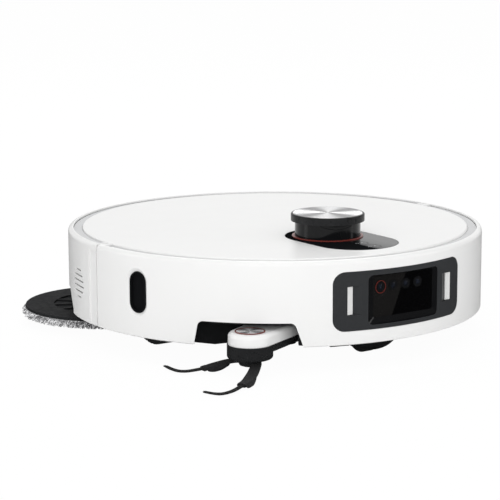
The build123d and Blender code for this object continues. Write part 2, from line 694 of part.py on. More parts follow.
with BuildPart() as turret_cap:
    with Locations((0, TURRET_Y, TOWER_TOP + 0.2)):
        Cylinder(CAP_R, CAP_TOP - TOWER_TOP - 0.2, align=(Align.CENTER, Align.CENTER, Align.MIN))
    fillet(turret_cap.edges().group_by(Axis.Z)[-1], 1.2)
    with Locations((0, TURRET_Y, CAP_TOP)):
        Cylinder(DISC_R + 0.1, 1.2, mode=Mode.SUBTRACT)
    with Locations((0, TURRET_Y, TOWER_TOP + 0.3)):
        Cylinder(9, 1.5, align=(Align.CENTER, Align.CENTER, Align.MAX))
turret_cap.part.label = "turret_cap"
export_step(turret_cap.part, "parts/turret_cap.step")

with BuildPart() as turret_disc:
    with Locations((0, TURRET_Y, CAP_TOP - 0.6)):
        Cylinder(DISC_R, 0.7, align=(Align.CENTER, Align.CENTER, Align.MIN))
    fillet(turret_disc.edges().group_by(Axis.Z)[-1], 0.3)
turret_disc.part.label = "turret_disc"
export_step(turret_disc.part, "parts/turret_disc.step")

PULLEY_Z = 56.0
MOTOR_X = 32.0

with BuildPart() as lidar_rotor:
    with Locations((0, TURRET_Y, 65)):
        Cylinder(ROTOR_R, 16, align=(Align.CENTER, Align.CENTER, Align.MIN))
    for x in (-9, 9):
        with Locations((x, TURRET_Y - ROTOR_R, 75)):
            Cylinder(5.5, 24, rotation=(90, 0, 0), mode=Mode.SUBTRACT)
    with Locations((0, TURRET_Y, PULLEY_Z)):
        Cylinder(6, 10, align=(Align.CENTER, Align.CENTER, Align.MIN))
    with Locations((0, TURRET_Y, PULLEY_Z)):
        Cylinder(18, 3.6, align=(Align.CENTER, Align.CENTER, Align.MIN))
lidar_rotor.part.label = "lidar_rotor"
export_step(lidar_rotor.part, "parts/lidar_rotor.step")

with BuildPart() as lidar_motor:
    with Locations((MOTOR_X, TURRET_Y, 40)):
        Cylinder(9, 14, align=(Align.CENTER, Align.CENTER, Align.MIN))
    with Locations((MOTOR_X, TURRET_Y, 54)):
        Cylinder(1, 6, align=(Align.CENTER, Align.CENTER, Align.MIN))
lidar_motor.part.label = "lidar_motor"
export_step(lidar_motor.part, "parts/lidar_motor.step")

with BuildPart() as lidar_pulley:
    with Locations((MOTOR_X, TURRET_Y, PULLEY_Z)):
        Cylinder(4.5, 3.6, align=(Align.CENTER, Align.CENTER, Align.MIN))
        Cylinder(1 + RUN, 20, mode=Mode.SUBTRACT)
lidar_pulley.part.label = "lidar_pulley"
export_step(lidar_pulley.part, "parts/lidar_pulley.step")

with BuildPart() as lidar_belt:
    with BuildSketch(Plane.XY.offset(PULLEY_Z + 0.8)):
        add(link_plan((0, TURRET_Y), 18.05 + 1.2, (MOTOR_X, TURRET_Y), 4.55 + 1.2))
        add(link_plan((0, TURRET_Y), 18.05, (MOTOR_X, TURRET_Y), 4.55), mode=Mode.SUBTRACT)
    extrude(amount=2)
lidar_belt.part.label = "lidar_belt"
export_step(lidar_belt.part, "parts/lidar_belt.step")

# ------------------------------------------------------------------ dust bin, fan, battery, tank

with BuildPart() as dust_bin:
    with BuildSketch(Plane.XY.offset(BIN_LOW)):
        with Locations((0, (BIN_FRONT + BIN_BACK) / 2)):
            RectangleRounded(2 * BIN_HALF, BIN_BACK - BIN_FRONT, 5)
    extrude(amount=BIN_HIGH - BIN_LOW)
    offset(amount=-2, openings=dust_bin.faces().sort_by(Axis.Z)[-1])
    # the inlet faces the brush chamber, the outlet faces the fan
    with Locations((0, BIN_FRONT, BRUSH_Z + 14)):
        Box(68, 8, 12, mode=Mode.SUBTRACT)
    with Locations((-42, BIN_BACK, 52)):
        Box(24, 8, 20, mode=Mode.SUBTRACT)
dust_bin.part.label = "dust_bin"
export_step(dust_bin.part, "parts/dust_bin.step")

with BuildPart() as bin_lid:
    with BuildSketch(Plane.XY.offset(BIN_HIGH + 0.1)):
        with Locations((0, (BIN_FRONT + BIN_BACK) / 2)):
            RectangleRounded(2 * BIN_HALF, BIN_BACK - BIN_FRONT, 5)
    extrude(amount=3.6)
    fillet(bin_lid.edges().group_by(Axis.Z)[-1], 1)
    # a finger recess with a bar across it
    with Locations((0, (BIN_FRONT + BIN_BACK) / 2, BIN_HIGH + 3.7)):
        Box(50, 22, 4.8, mode=Mode.SUBTRACT)
        Box(50, 7, 1.6, align=(Align.CENTER, Align.CENTER, Align.MAX))
bin_lid.part.label = "bin_lid"
export_step(bin_lid.part, "parts/bin_lid.step")

with BuildPart() as bin_filter:
    with Locations((-42, BIN_BACK - 7.5, 52)):
        Box(34, 8, 26)
    with Locations((-42, BIN_BACK - 11.5, 52)):
        with GridLocations(3, 0, 10, 1):
            Box(1.4, 4, 22, mode=Mode.SUBTRACT)
bin_filter.part.label = "bin_filter"
export_step(bin_filter.part, "parts/bin_filter.step")

FAN_CENTRE = (-98.0, 76.0)
FAN_R = 29.0
FAN_LOW = BAY_TOP + BAY_ROOF_T + 0.5
FAN_HIGH = 68.0
IMPELLER_R = 22.0

with BuildPart() as fan_housing:
    with BuildSketch(Plane.XY.offset(FAN_LOW)):
        with Locations(FAN_CENTRE):
            Circle(FAN_R)
    extrude(amount=FAN_HIGH - FAN_LOW)
    # the duct from the dust bin joins the side of the casing
    with BuildSketch(Plane.XY.offset(40)):
        with BuildLine():
            Polyline(
                (-57, BIN_BACK + 2), (-27, BIN_BACK + 2), (-62, 80), (-92, 60), close=True,
            )
        make_face()
    extrude(amount=24)
    with Locations((*FAN_CENTRE, FAN_LOW + 3)):
        Cylinder(
            FAN_R - 3, FAN_HIGH - FAN_LOW - 6, align=(Align.CENTER, Align.CENTER, Align.MIN),
            mode=Mode.SUBTRACT,
        )
    with BuildSketch(Plane.XY.offset(42)):
        with BuildLine():
            Polyline((-54, BIN_BACK), (-32, BIN_BACK), (-62, 76), (-84, 62), close=True)
        make_face()
    extrude(amount=20, mode=Mode.SUBTRACT)
    # the exhaust slot towards the vents
    with Locations((FAN_CENTRE[0] - FAN_R, FAN_CENTRE[1] - 8, 50)):
        Box(14, 22, 20, mode=Mode.SUBTRACT)
    with Locations((*FAN_CENTRE, FAN_LOW)):
        Cylinder(AXLE_R, 8, align=(Align.CENTER, Align.CENTER, Align.MIN))
fan_housing.part.label = "fan_housing"
export_step(fan_housing.part, "parts/fan_housing.step")

with BuildPart() as fan_impeller:
    with Locations((*FAN_CENTRE, FAN_LOW + 4)):
        Cylinder(IMPELLER_R, 2, align=(Align.CENTER, Align.CENTER, Align.MIN))
        Cylinder(7, 24, align=(Align.CENTER, Align.CENTER, Align.MIN))
    with Locations((*FAN_CENTRE, FAN_LOW + 5.5)):
        with PolarLocations(13.5, 9):
            with Locations(Rotation(0, 0, 35)):
                Box(17, 1.6, 16, align=(Align.CENTER, Align.CENTER, Align.MIN))
    with Locations((*FAN_CENTRE, FAN_LOW)):
        Cylinder(AXLE_R + RUN, 20, mode=Mode.SUBTRACT)
fan_impeller.part.label = "fan_impeller"
export_step(fan_impeller.part, "parts/fan_impeller.step")

with BuildPart() as battery:
    with Locations((63, -114, 41)):
        Box(68, 36, 56)
    fillet(battery.edges().filter_by(Axis.Z), 4)
    fillet(battery.edges().group_by(Axis.Z)[-1], 1.5)
battery.part.label = "battery"
export_step(battery.part, "parts/battery.step")

with BuildPart() as main_board:
    with Locations((-88, -76, 36)):
        Box(74, 44, 1.6)
    for x, y, w, d, h in ((-70, -70, 14, 14, 1.4), (-100, -80, 10, 10, 1.2), (-88, -64, 18, 6, 5), (-115, -66, 8, 8, 8)):
        with Locations((x, y, 36.8)):
            Box(w, d, h, align=(Align.CENTER, Align.CENTER, Align.MIN))
main_board.part.label = "main_board"
export_step(main_board.part, "parts/main_board.step")

with BuildPart() as water_tank:
    with BuildSketch(Plane.XY.offset(BAY_TOP + BAY_ROOF_T + 0.5)):
        Circle(146)
        with Locations((0, 22)):
            Rectangle(400, 400, align=(Align.CENTER, Align.MAX), mode=Mode.SUBTRACT)
        with Locations((-60, 0)):
            Rectangle(200, 400, align=(Align.MAX, Align.CENTER), mode=Mode.SUBTRACT)
        with Locations(((ARCH_IN + ARCH_OUT) / 2, 0)):
            Rectangle(ARCH_OUT - ARCH_IN + 8, 2 * ARCH_Y + 8, mode=Mode.SUBTRACT)
        with Locations((-60, 20)):
            Rectangle(36, 130, align=(Align.MIN, Align.CENTER), mode=Mode.SUBTRACT)
    extrude(amount=37)
    fillet(water_tank.edges().filter_by(Axis.Z), 3)
    offset(amount=-1.8, kind=Kind.INTERSECTION, mode=Mode.SUBTRACT)
    with Locations((60, 80, 60)):
        Cylinder(9, 9.3, align=(Align.CENTER, Align.CENTER, Align.MIN))
water_tank.part.label = "water_tank"
export_step(water_tank.part, "parts/water_tank.step")

# ------------------------------------------------------------------ drive modules and castor


def drive_arm(side):
    """A gearbox arm that pivots in front of the axle, with the drive motor on its inner face."""
    with BuildPart(mode=Mode.PRIVATE) as arm:
        with BuildSketch(Plane.YZ.offset(side * 88 if side > 0 else -103)):
            with Locations((SUSPENSION_Y, SUSPENSION_Z)):
                Circle(8)
            with Locations((-1, WHEEL_Z + 1)):
                Circle(15)
            make_hull()
        extrude(amount=15)
        with Locations((side * 78, 0, WHEEL_Z)):
            Cylinder(10.5, 22, rotation=(0, 90, 0))
        with Locations((side * 95, SUSPENSION_Y, SUSPENSION_Z)):
            Cylinder(AXLE_R + RUN, 30, rotation=(0, 90, 0), mode=Mode.SUBTRACT)
        with Locations((side * 100, 0, WHEEL_Z)):
            Cylinder(AXLE_R + RUN, 14, rotation=(0, 90, 0), mode=Mode.SUBTRACT)
    return arm


def wheel_hub(side):
    """A spoked hub with a stub axle that runs in the drive arm."""
    middle = (TYRE_IN + TYRE_OUT) / 2
    with BuildPart(mode=Mode.PRIVATE) as hub:
        with Locations((side * middle, 0, WHEEL_Z)):
            Cylinder(HUB_R, TYRE_OUT - TYRE_IN, rotation=(0, 90, 0))
        with BuildSketch(Plane.YZ.offset(side * TYRE_OUT)):
            with Locations((0, WHEEL_Z)):
                Circle(HUB_R - 3)
                Circle(8, mode=Mode.SUBTRACT)
                with PolarLocations(0, 5):
                    with Locations((HUB_R / 2, 0)):
                        Rectangle(HUB_R, 4, mode=Mode.SUBTRACT)
        extrude(amount=-side * 6, mode=Mode.SUBTRACT)
        with Locations((side * (TYRE_IN - 6), 0, WHEEL_Z)):
            Cylinder(AXLE_R, 14, rotation=(0, 90, 0))
    return hub


def tyre(side):
    """A rubber tyre with a row of tread blocks."""
    middle = (TYRE_IN + TYRE_OUT) / 2
    with BuildPart(mode=Mode.PRIVATE) as ring:
        with Locations((side * middle, 0, WHEEL_Z)):
            Cylinder(WHEEL_R, TYRE_OUT - TYRE_IN, rotation=(0, 90, 0))
        fillet(ring.edges(), 1.5)
        with Locations(Plane(origin=(side * middle, 0, WHEEL_Z), x_dir=(0, 1, 0), z_dir=(1, 0, 0))):
            with PolarLocations(WHEEL_R, 28):
                Box(3.2, 2.6, TYRE_OUT - TYRE_IN + 2, mode=Mode.SUBTRACT)
        with Locations((side * middle, 0, WHEEL_Z)):
            Cylinder(HUB_R, 60, rotation=(0, 90, 0), mode=Mode.SUBTRACT)
    return ring


left_drive_arm = drive_arm(1)
left_drive_arm.part.label = "left_drive_arm"
export_step(left_drive_arm.part, "parts/left_drive_arm.step")
right_drive_arm = drive_arm(-1)
right_drive_arm.part.label = "right_drive_arm"
export_step(right_drive_arm.part, "parts/right_drive_arm.step")
left_wheel_hub = wheel_hub(1)
left_wheel_hub.part.label = "left_wheel_hub"
export_step(left_wheel_hub.part, "parts/left_wheel_hub.step")
right_wheel_hub = wheel_hub(-1)
right_wheel_hub.part.label = "right_wheel_hub"
export_step(right_wheel_hub.part, "parts/right_wheel_hub.step")
left_tyre = tyre(1)
left_tyre.part.label = "left_tyre"
export_step(left_tyre.part, "parts/left_tyre.step")
right_tyre = tyre(-1)
right_tyre.part.label = "right_tyre"
export_step(right_tyre.part, "parts/right_tyre.step")

with BuildPart() as suspension_springs:
    for side in (-1, 1):
        add(coil((side * 95.5, -3, 38.4), (0, 0, 1), 18.8, 4.5, 0.7, 3.2).part)
suspension_springs.part.label = "suspension_springs"
export_step(suspension_springs.part, "parts/suspension_springs.step")

with BuildPart() as castor_fork:
    # a swivelling drum with a domed underside that carries the wheel in a slot
    with BuildSketch(Plane.XZ.offset(-CASTOR_Y)):
        with BuildLine():
            Polyline(
                (0, CASTOR_DOME_Z), (0, CASTOR_DRUM_TOP), (CASTOR_SOCKET_R - 0.6, CASTOR_DRUM_TOP),
                (CASTOR_SOCKET_R - 0.6, 0),
            )
            ThreePointArc((CASTOR_SOCKET_R - 0.6, 0), (15.5, -5.2), (0, CASTOR_DOME_Z))
        make_face()
    revolve(axis=Axis((0, CASTOR_Y, 0), (0, 0, 1)))
    with Locations((0, CASTOR_Y + CASTOR_TRAIL, FLOOR + CASTOR_R)):
        Box(CASTOR_WIDTH + 1.2, 2 * CASTOR_R + 3, 36, mode=Mode.SUBTRACT)
        Cylinder(CASTOR_AXLE_R, 30, rotation=(0, 90, 0))
    with Locations((0, CASTOR_Y, CASTOR_DRUM_TOP)):
        Cylinder(AXLE_R + RUN, 20, mode=Mode.SUBTRACT)
castor_fork.part.label = "castor_fork"
export_step(castor_fork.part, "parts/castor_fork.step")

with BuildPart() as castor_wheel:
    with Locations((0, CASTOR_Y + CASTOR_TRAIL, FLOOR + CASTOR_R)):
        Cylinder(CASTOR_R, CASTOR_WIDTH, rotation=(0, 90, 0))
        fillet(castor_wheel.edges(), 2.5)
        Cylinder(CASTOR_AXLE_R + RUN, 20, rotation=(0, 90, 0), mode=Mode.SUBTRACT)
castor_wheel.part.label = "castor_wheel"
export_step(castor_wheel.part, "parts/castor_wheel.step")

# ------------------------------------------------------------------ main brush

with BuildPart() as main_brush:
    with Locations((0, BRUSH_Y, BRUSH_Z)):
        Cylinder(13, 2 * BRUSH_HALF, rotation=(0, 90, 0))
        Cylinder(BRUSH_JOURNAL_R, 2 * CHAMBER_HALF + 3.6, rotation=(0, 90, 0))
    for blade in range(6):
        with BuildSketch(Plane(origin=(-BRUSH_HALF, BRUSH_Y, BRUSH_Z), x_dir=(0, 1, 0), z_dir=(1, 0, 0))):
            with Locations(Rotation(0, 0, blade * 60)):
                with Locations((16, 0)):
                    Rectangle(2 * (BRUSH_R - 16), 2.4)
        extrude(amount=2 * BRUSH_HALF)
main_brush.part.label = "main_brush"
export_step(main_brush.part, "parts/main_brush.step")

with BuildPart() as brush_guard:
    with BuildSketch():
        with Locations((0, BRUSH_Y)):
            RectangleRounded(GUARD_LENGTH, GUARD_WIDTH, 5)
            Rectangle(2 * CHAMBER_HALF, 2 * CHAMBER_R, mode=Mode.SUBTRACT)
    extrude(amount=GUARD_T)
    # thin straps bow down around the roller
    for x in (-52, 0, 52):
        with BuildSketch(Plane.YZ.offset(x - 1.5)):
            with Locations((BRUSH_Y, BRUSH_Z)):
                Circle(BRUSH_R + 1.5)
                Circle(BRUSH_R + 0.3, mode=Mode.SUBTRACT)
            with Locations((BRUSH_Y, GUARD_T)):
                Rectangle(80, 80, align=(Align.CENTER, Align.MIN), mode=Mode.SUBTRACT)
            for side in (-1, 1):
                with Locations((BRUSH_Y + side * (CHAMBER_R - 1), GUARD_T / 2)):
                    Rectangle(6, GUARD_T)
            with Locations((BRUSH_Y, BRUSH_Z)):
                Circle(BRUSH_R + 0.3, mode=Mode.SUBTRACT)
        extrude(amount=3)
brush_guard.part.label = "brush_guard"
export_step(brush_guard.part, "parts/brush_guard.step")

with BuildPart() as brush_motor:
    with Locations((91.5, -60, 31)):
        Box(11, 32, 54)
    with Locations((66, -60, 48)):
        Cylinder(11, 42, rotation=(0, 90, 0))
brush_motor.part.label = "brush_motor"
export_step(brush_motor.part, "parts/brush_motor.step")

# ------------------------------------------------------------------ side brush arm

with BuildPart() as side_arm_housing:
    with Locations((*ARM_TIP, ARM_BOTTOM)):
        Cylinder(ARM_TIP_R, ARM_SPLIT - ARM_BOTTOM, align=(Align.CENTER, Align.CENTER, Align.MIN))
    fillet(side_arm_housing.edges().group_by(Axis.Z)[0], 2.5)
    with Locations((*ARM_PIVOT, ARM_BOTTOM)):
        Cylinder(ARM_PIN_R + 4, ARM_SPLIT - ARM_BOTTOM, align=(Align.CENTER, Align.CENTER, Align.MIN))
    with BuildSketch(Plane.XY.offset(ARM_LINK_Z)):
        add(link_plan(ARM_PIVOT, ARM_PIVOT_R, ARM_TIP, ARM_TIP_R - 0.4))
    extrude(amount=ARM_SPLIT - ARM_LINK_Z)
    with Locations((*ARM_PIVOT, ARM_BOTTOM)):
        Cylinder(ARM_PIN_R + RUN, 40, mode=Mode.SUBTRACT)
    with Locations((*ARM_TIP, ARM_BOTTOM)):
        Cylinder(3 + RUN, 16, mode=Mode.SUBTRACT)
side_arm_housing.part.label = "side_arm_housing"
export_step(side_arm_housing.part, "parts/side_arm_housing.step")

with BuildPart() as side_arm_cover:
    with BuildSketch(Plane.XY.offset(ARM_SPLIT)):
        add(link_plan(ARM_PIVOT, ARM_PIVOT_R, ARM_TIP, ARM_TIP_R - 0.8))
    extrude(amount=ARM_TOP - ARM_SPLIT)
    fillet(side_arm_cover.edges().group_by(Axis.Z)[-1], 3.5)
    with Locations((*ARM_PIVOT, ARM_TOP)):
        Cylinder(ARM_PIN_R + RUN, 40, mode=Mode.SUBTRACT)
    with Locations((*ARM_TIP, ARM_TOP)):
        Cylinder(11.1, 1.2, mode=Mode.SUBTRACT)
side_arm_cover.part.label = "side_arm_cover"
export_step(side_arm_cover.part, "parts/side_arm_cover.step")

with BuildPart() as side_arm_badge:
    with Locations((*ARM_TIP, ARM_TOP - 0.6)):
        Cylinder(11, 1.1, align=(Align.CENTER, Align.CENTER, Align.MIN))
    fillet(side_arm_badge.edges().group_by(Axis.Z)[-1], 0.4)
side_arm_badge.part.label = "side_arm_badge"
export_step(side_arm_badge.part, "parts/side_arm_badge.step")

# Each rubber paddle droops and curves away from the hub, and carries on as a bundle of bristles
PADDLES = (
    ((-113, -130, -2.6), (-124, -116, -3.5), (-137, -110, -6.0), (-149, -109, -8.0)),
    ((-118, -138, -2.6), (-132, -152, -5.6), (-143, -161, -7.6), (-153, -167, -8.8)),
)
BRISTLES = (
    ((-150, -108.9, -8.2), (-160, -105, -9.2), (-165, -95, -9.8), (-164, -78, -9.8)),
    ((-154, -167.6, -9.0), (-166, -174, -9.6), (-179, -175, -9.8), (-185, -163, -9.8)),
)


def strap(points, first_width, last_width, thickness, sections=8):
    """A flat strap lofted along a spline, with its width changing from one end to the other."""
    with BuildPart(mode=Mode.PRIVATE) as blade:
        with BuildLine(mode=Mode.PRIVATE):
            path = Spline(*points)
        for step in range(sections + 1):
            along = step / sections
            ahead = path % along
            width = first_width + (last_width - first_width) * along
            with BuildSketch(Plane(origin=path @ along, x_dir=Vector(0, 0, 1).cross(ahead), z_dir=ahead)):
                RectangleRounded(width, thickness, 0.45 * thickness)
        loft()
    return blade


with BuildPart() as side_brush:
    with Locations((*ARM_TIP, ARM_BOTTOM - 0.5)):
        Cylinder(9, 5.5, align=(Align.CENTER, Align.CENTER, Align.MAX))
    with Locations((*ARM_TIP, ARM_BOTTOM + 6)):
        Cylinder(3, 8, align=(Align.CENTER, Align.CENTER, Align.MAX))
    for points in PADDLES:
        add(strap(points, 9.0, 8.0, 3.0).part)
side_brush.part.label = "side_brush"
export_step(side_brush.part, "parts/side_brush.step")

with BuildPart() as side_brush_bristles:
    for points in BRISTLES:
        add(strap(points, 5.0, 8.0, 2.6).part)
side_brush_bristles.part.label = "side_brush_bristles"
export_step(side_brush_bristles.part, "parts/side_brush_bristles.step")

# ------------------------------------------------------------------ mops

with BuildPart() as mop_arm:
    with BuildSketch(Plane.XY.offset(MOP_ARM_BOTTOM)):
        add(link_plan(MOP_PIVOT, 12, MOP_OUT, 20))
    extrude(amount=MOP_ARM_TOP - MOP_ARM_BOTTOM)
    fillet(mop_arm.edges().group_by(Axis.Z)[0], 2)
    with Locations((*MOP_PIVOT, MOP_ARM_BOTTOM)):
        Cylinder(SPINDLE_R + RUN, 40, mode=Mode.SUBTRACT)
    with Locations((*MOP_OUT, MOP_ARM_BOTTOM)):
        Cylinder(LIFTER_R + RUN, 40, mode=Mode.SUBTRACT)
mop_arm.part.label = "mop_arm"
export_step(mop_arm.part, "parts/mop_arm.step")

with BuildPart() as left_mop_gearbox:
    with BuildSketch(Plane.XY.offset(MOP_ARM_BOTTOM)):
        add(link_plan(LEFT_MOP, 20, (40, 110), 14))
    extrude(amount=BAY_TOP - MOP_ARM_BOTTOM)
    fillet(left_mop_gearbox.edges().group_by(Axis.Z)[0], 2)
    with Locations((*LEFT_MOP, MOP_ARM_BOTTOM)):
        Cylinder(LIFTER_R + RUN, 40, mode=Mode.SUBTRACT)
left_mop_gearbox.part.label = "left_mop_gearbox"
export_step(left_mop_gearbox.part, "parts/left_mop_gearbox.step")


def mop_lifter(centre):
    """A flanged sleeve that rises and falls with its mop."""
    with BuildPart(mode=Mode.PRIVATE) as lifter:
        with Locations((*centre, PLATE_TOP + 1.0)):
            Cylinder(LIFTER_R, LIFTER_TOP - PLATE_TOP - 1, align=(Align.CENTER, Align.CENTER, Align.MIN))
            Cylinder(17, 1.5, align=(Align.CENTER, Align.CENTER, Align.MIN))
            Cylinder(SPINDLE_R + RUN, 60, mode=Mode.SUBTRACT)
    return lifter


def mop_plate(centre):
    """A round carrier plate with a ribbed ring recess and a drive spindle."""
    with BuildPart(mode=Mode.PRIVATE) as plate:
        with Locations((*centre, PLATE_Z)):
            Cylinder(MOP_R, PLATE_TOP - PLATE_Z, align=(Align.CENTER, Align.CENTER, Align.MIN))
        fillet(plate.edges().group_by(Axis.Z)[-1], 0.8)
        with BuildSketch(Plane.XY.offset(PLATE_TOP)):
            with Locations(centre):
                Circle(PLATE_RECESS_R)
                Circle(PLATE_HUB_R, mode=Mode.SUBTRACT)
                with PolarLocations((PLATE_RECESS_R + PLATE_HUB_R) / 2, PLATE_RIBS):
                    Rectangle(PLATE_RECESS_R, PLATE_RIB_W, mode=Mode.SUBTRACT)
        extrude(amount=-PLATE_RECESS_DEPTH, mode=Mode.SUBTRACT)
        with Locations((*centre, PLATE_TOP - 1)):
            Cylinder(SPINDLE_R, 14.2, align=(Align.CENTER, Align.CENTER, Align.MIN))
    return plate


def mop_pad(centre):
    """A round microfibre pad under the plate."""
    with BuildPart(mode=Mode.PRIVATE) as pad:
        with Locations((*centre, PAD_BOTTOM)):
            Cylinder(PAD_R, PLATE_Z - 0.05 - PAD_BOTTOM, align=(Align.CENTER, Align.CENTER, Align.MIN))
        fillet(pad.edges().group_by(Axis.Z)[-1], 1.5)
    return pad


right_mop_lifter = mop_lifter(MOP_OUT)
right_mop_lifter.part.label = "right_mop_lifter"
export_step(right_mop_lifter.part, "parts/right_mop_lifter.step")
left_mop_lifter = mop_lifter(LEFT_MOP)
left_mop_lifter.part.label = "left_mop_lifter"
export_step(left_mop_lifter.part, "parts/left_mop_lifter.step")
right_mop_plate = mop_plate(MOP_OUT)
right_mop_plate.part.label = "right_mop_plate"
export_step(right_mop_plate.part, "parts/right_mop_plate.step")
left_mop_plate = mop_plate(LEFT_MOP)
left_mop_plate.part.label = "left_mop_plate"
export_step(left_mop_plate.part, "parts/left_mop_plate.step")
right_mop_pad = mop_pad(MOP_OUT)
right_mop_pad.part.label = "right_mop_pad"
export_step(right_mop_pad.part, "parts/right_mop_pad.step")
left_mop_pad = mop_pad(LEFT_MOP)
left_mop_pad.part.label = "left_mop_pad"
export_step(left_mop_pad.part, "parts/left_mop_pad.step")

# ------------------------------------------------------------------ small parts under the body

with BuildPart() as cliff_sensors:
    with Locations(*cliff_spots(CLIFF_Z)):
        Box(16, 7, 6, align=(Align.CENTER, Align.CENTER, Align.MIN))
cliff_sensors.part.label = "cliff_sensors"
export_step(cliff_sensors.part, "parts/cliff_sensors.step")

with BuildPart() as charging_contacts:
    for x in CONTACT_XS:
        with Locations((x, CONTACT_Y, -CONTACT_PROUD)):
            Box(CONTACT_LENGTH, CONTACT_WIDTH, CONTACT_PROUD + 1.1, align=(Align.CENTER, Align.CENTER, Align.MIN))
charging_contacts.part.label = "charging_contacts"
export_step(charging_contacts.part, "parts/charging_contacts.step")
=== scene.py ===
import json
import math
import random

import bmesh
import bpy
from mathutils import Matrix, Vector


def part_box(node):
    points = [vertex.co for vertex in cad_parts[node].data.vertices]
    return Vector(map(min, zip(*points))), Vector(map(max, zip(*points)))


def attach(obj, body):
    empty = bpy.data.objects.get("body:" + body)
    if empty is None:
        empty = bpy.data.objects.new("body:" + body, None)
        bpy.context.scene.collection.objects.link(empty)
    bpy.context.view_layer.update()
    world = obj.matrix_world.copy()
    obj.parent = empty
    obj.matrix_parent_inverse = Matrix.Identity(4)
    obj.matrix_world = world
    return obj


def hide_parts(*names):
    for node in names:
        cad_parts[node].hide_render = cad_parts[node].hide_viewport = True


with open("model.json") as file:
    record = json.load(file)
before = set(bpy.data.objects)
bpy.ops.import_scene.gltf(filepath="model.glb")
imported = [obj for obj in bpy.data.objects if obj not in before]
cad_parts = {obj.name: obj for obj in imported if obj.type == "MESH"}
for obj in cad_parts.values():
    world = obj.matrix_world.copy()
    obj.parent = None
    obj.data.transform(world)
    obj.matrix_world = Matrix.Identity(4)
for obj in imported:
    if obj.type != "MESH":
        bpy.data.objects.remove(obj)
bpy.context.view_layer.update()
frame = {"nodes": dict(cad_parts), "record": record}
MM = 0.001

# ------------------------------------------------------------------ finishes

HIGHLIGHT_RAYS = 4                   # painted highlight: bright rays on turned metal
SPUN_SCRATCHES = 260            # circular scratches across the disc
RECESS_DEPTH = 0.6 * MM         # deeper than this, the camera module is glossy
RECESS_HALF_WIDTH = 37.2 * MM
GLARE_SLOPE = -0.42             # how far the reflection's edge leans on the camera glass
GLARE_SHIFT = 4.0 * MM
GLARE_EDGE = 0.3 * MM
PANEL_FADE = (-0.004, 0.022)    # the x range over which the control panel turns from dull to glossy


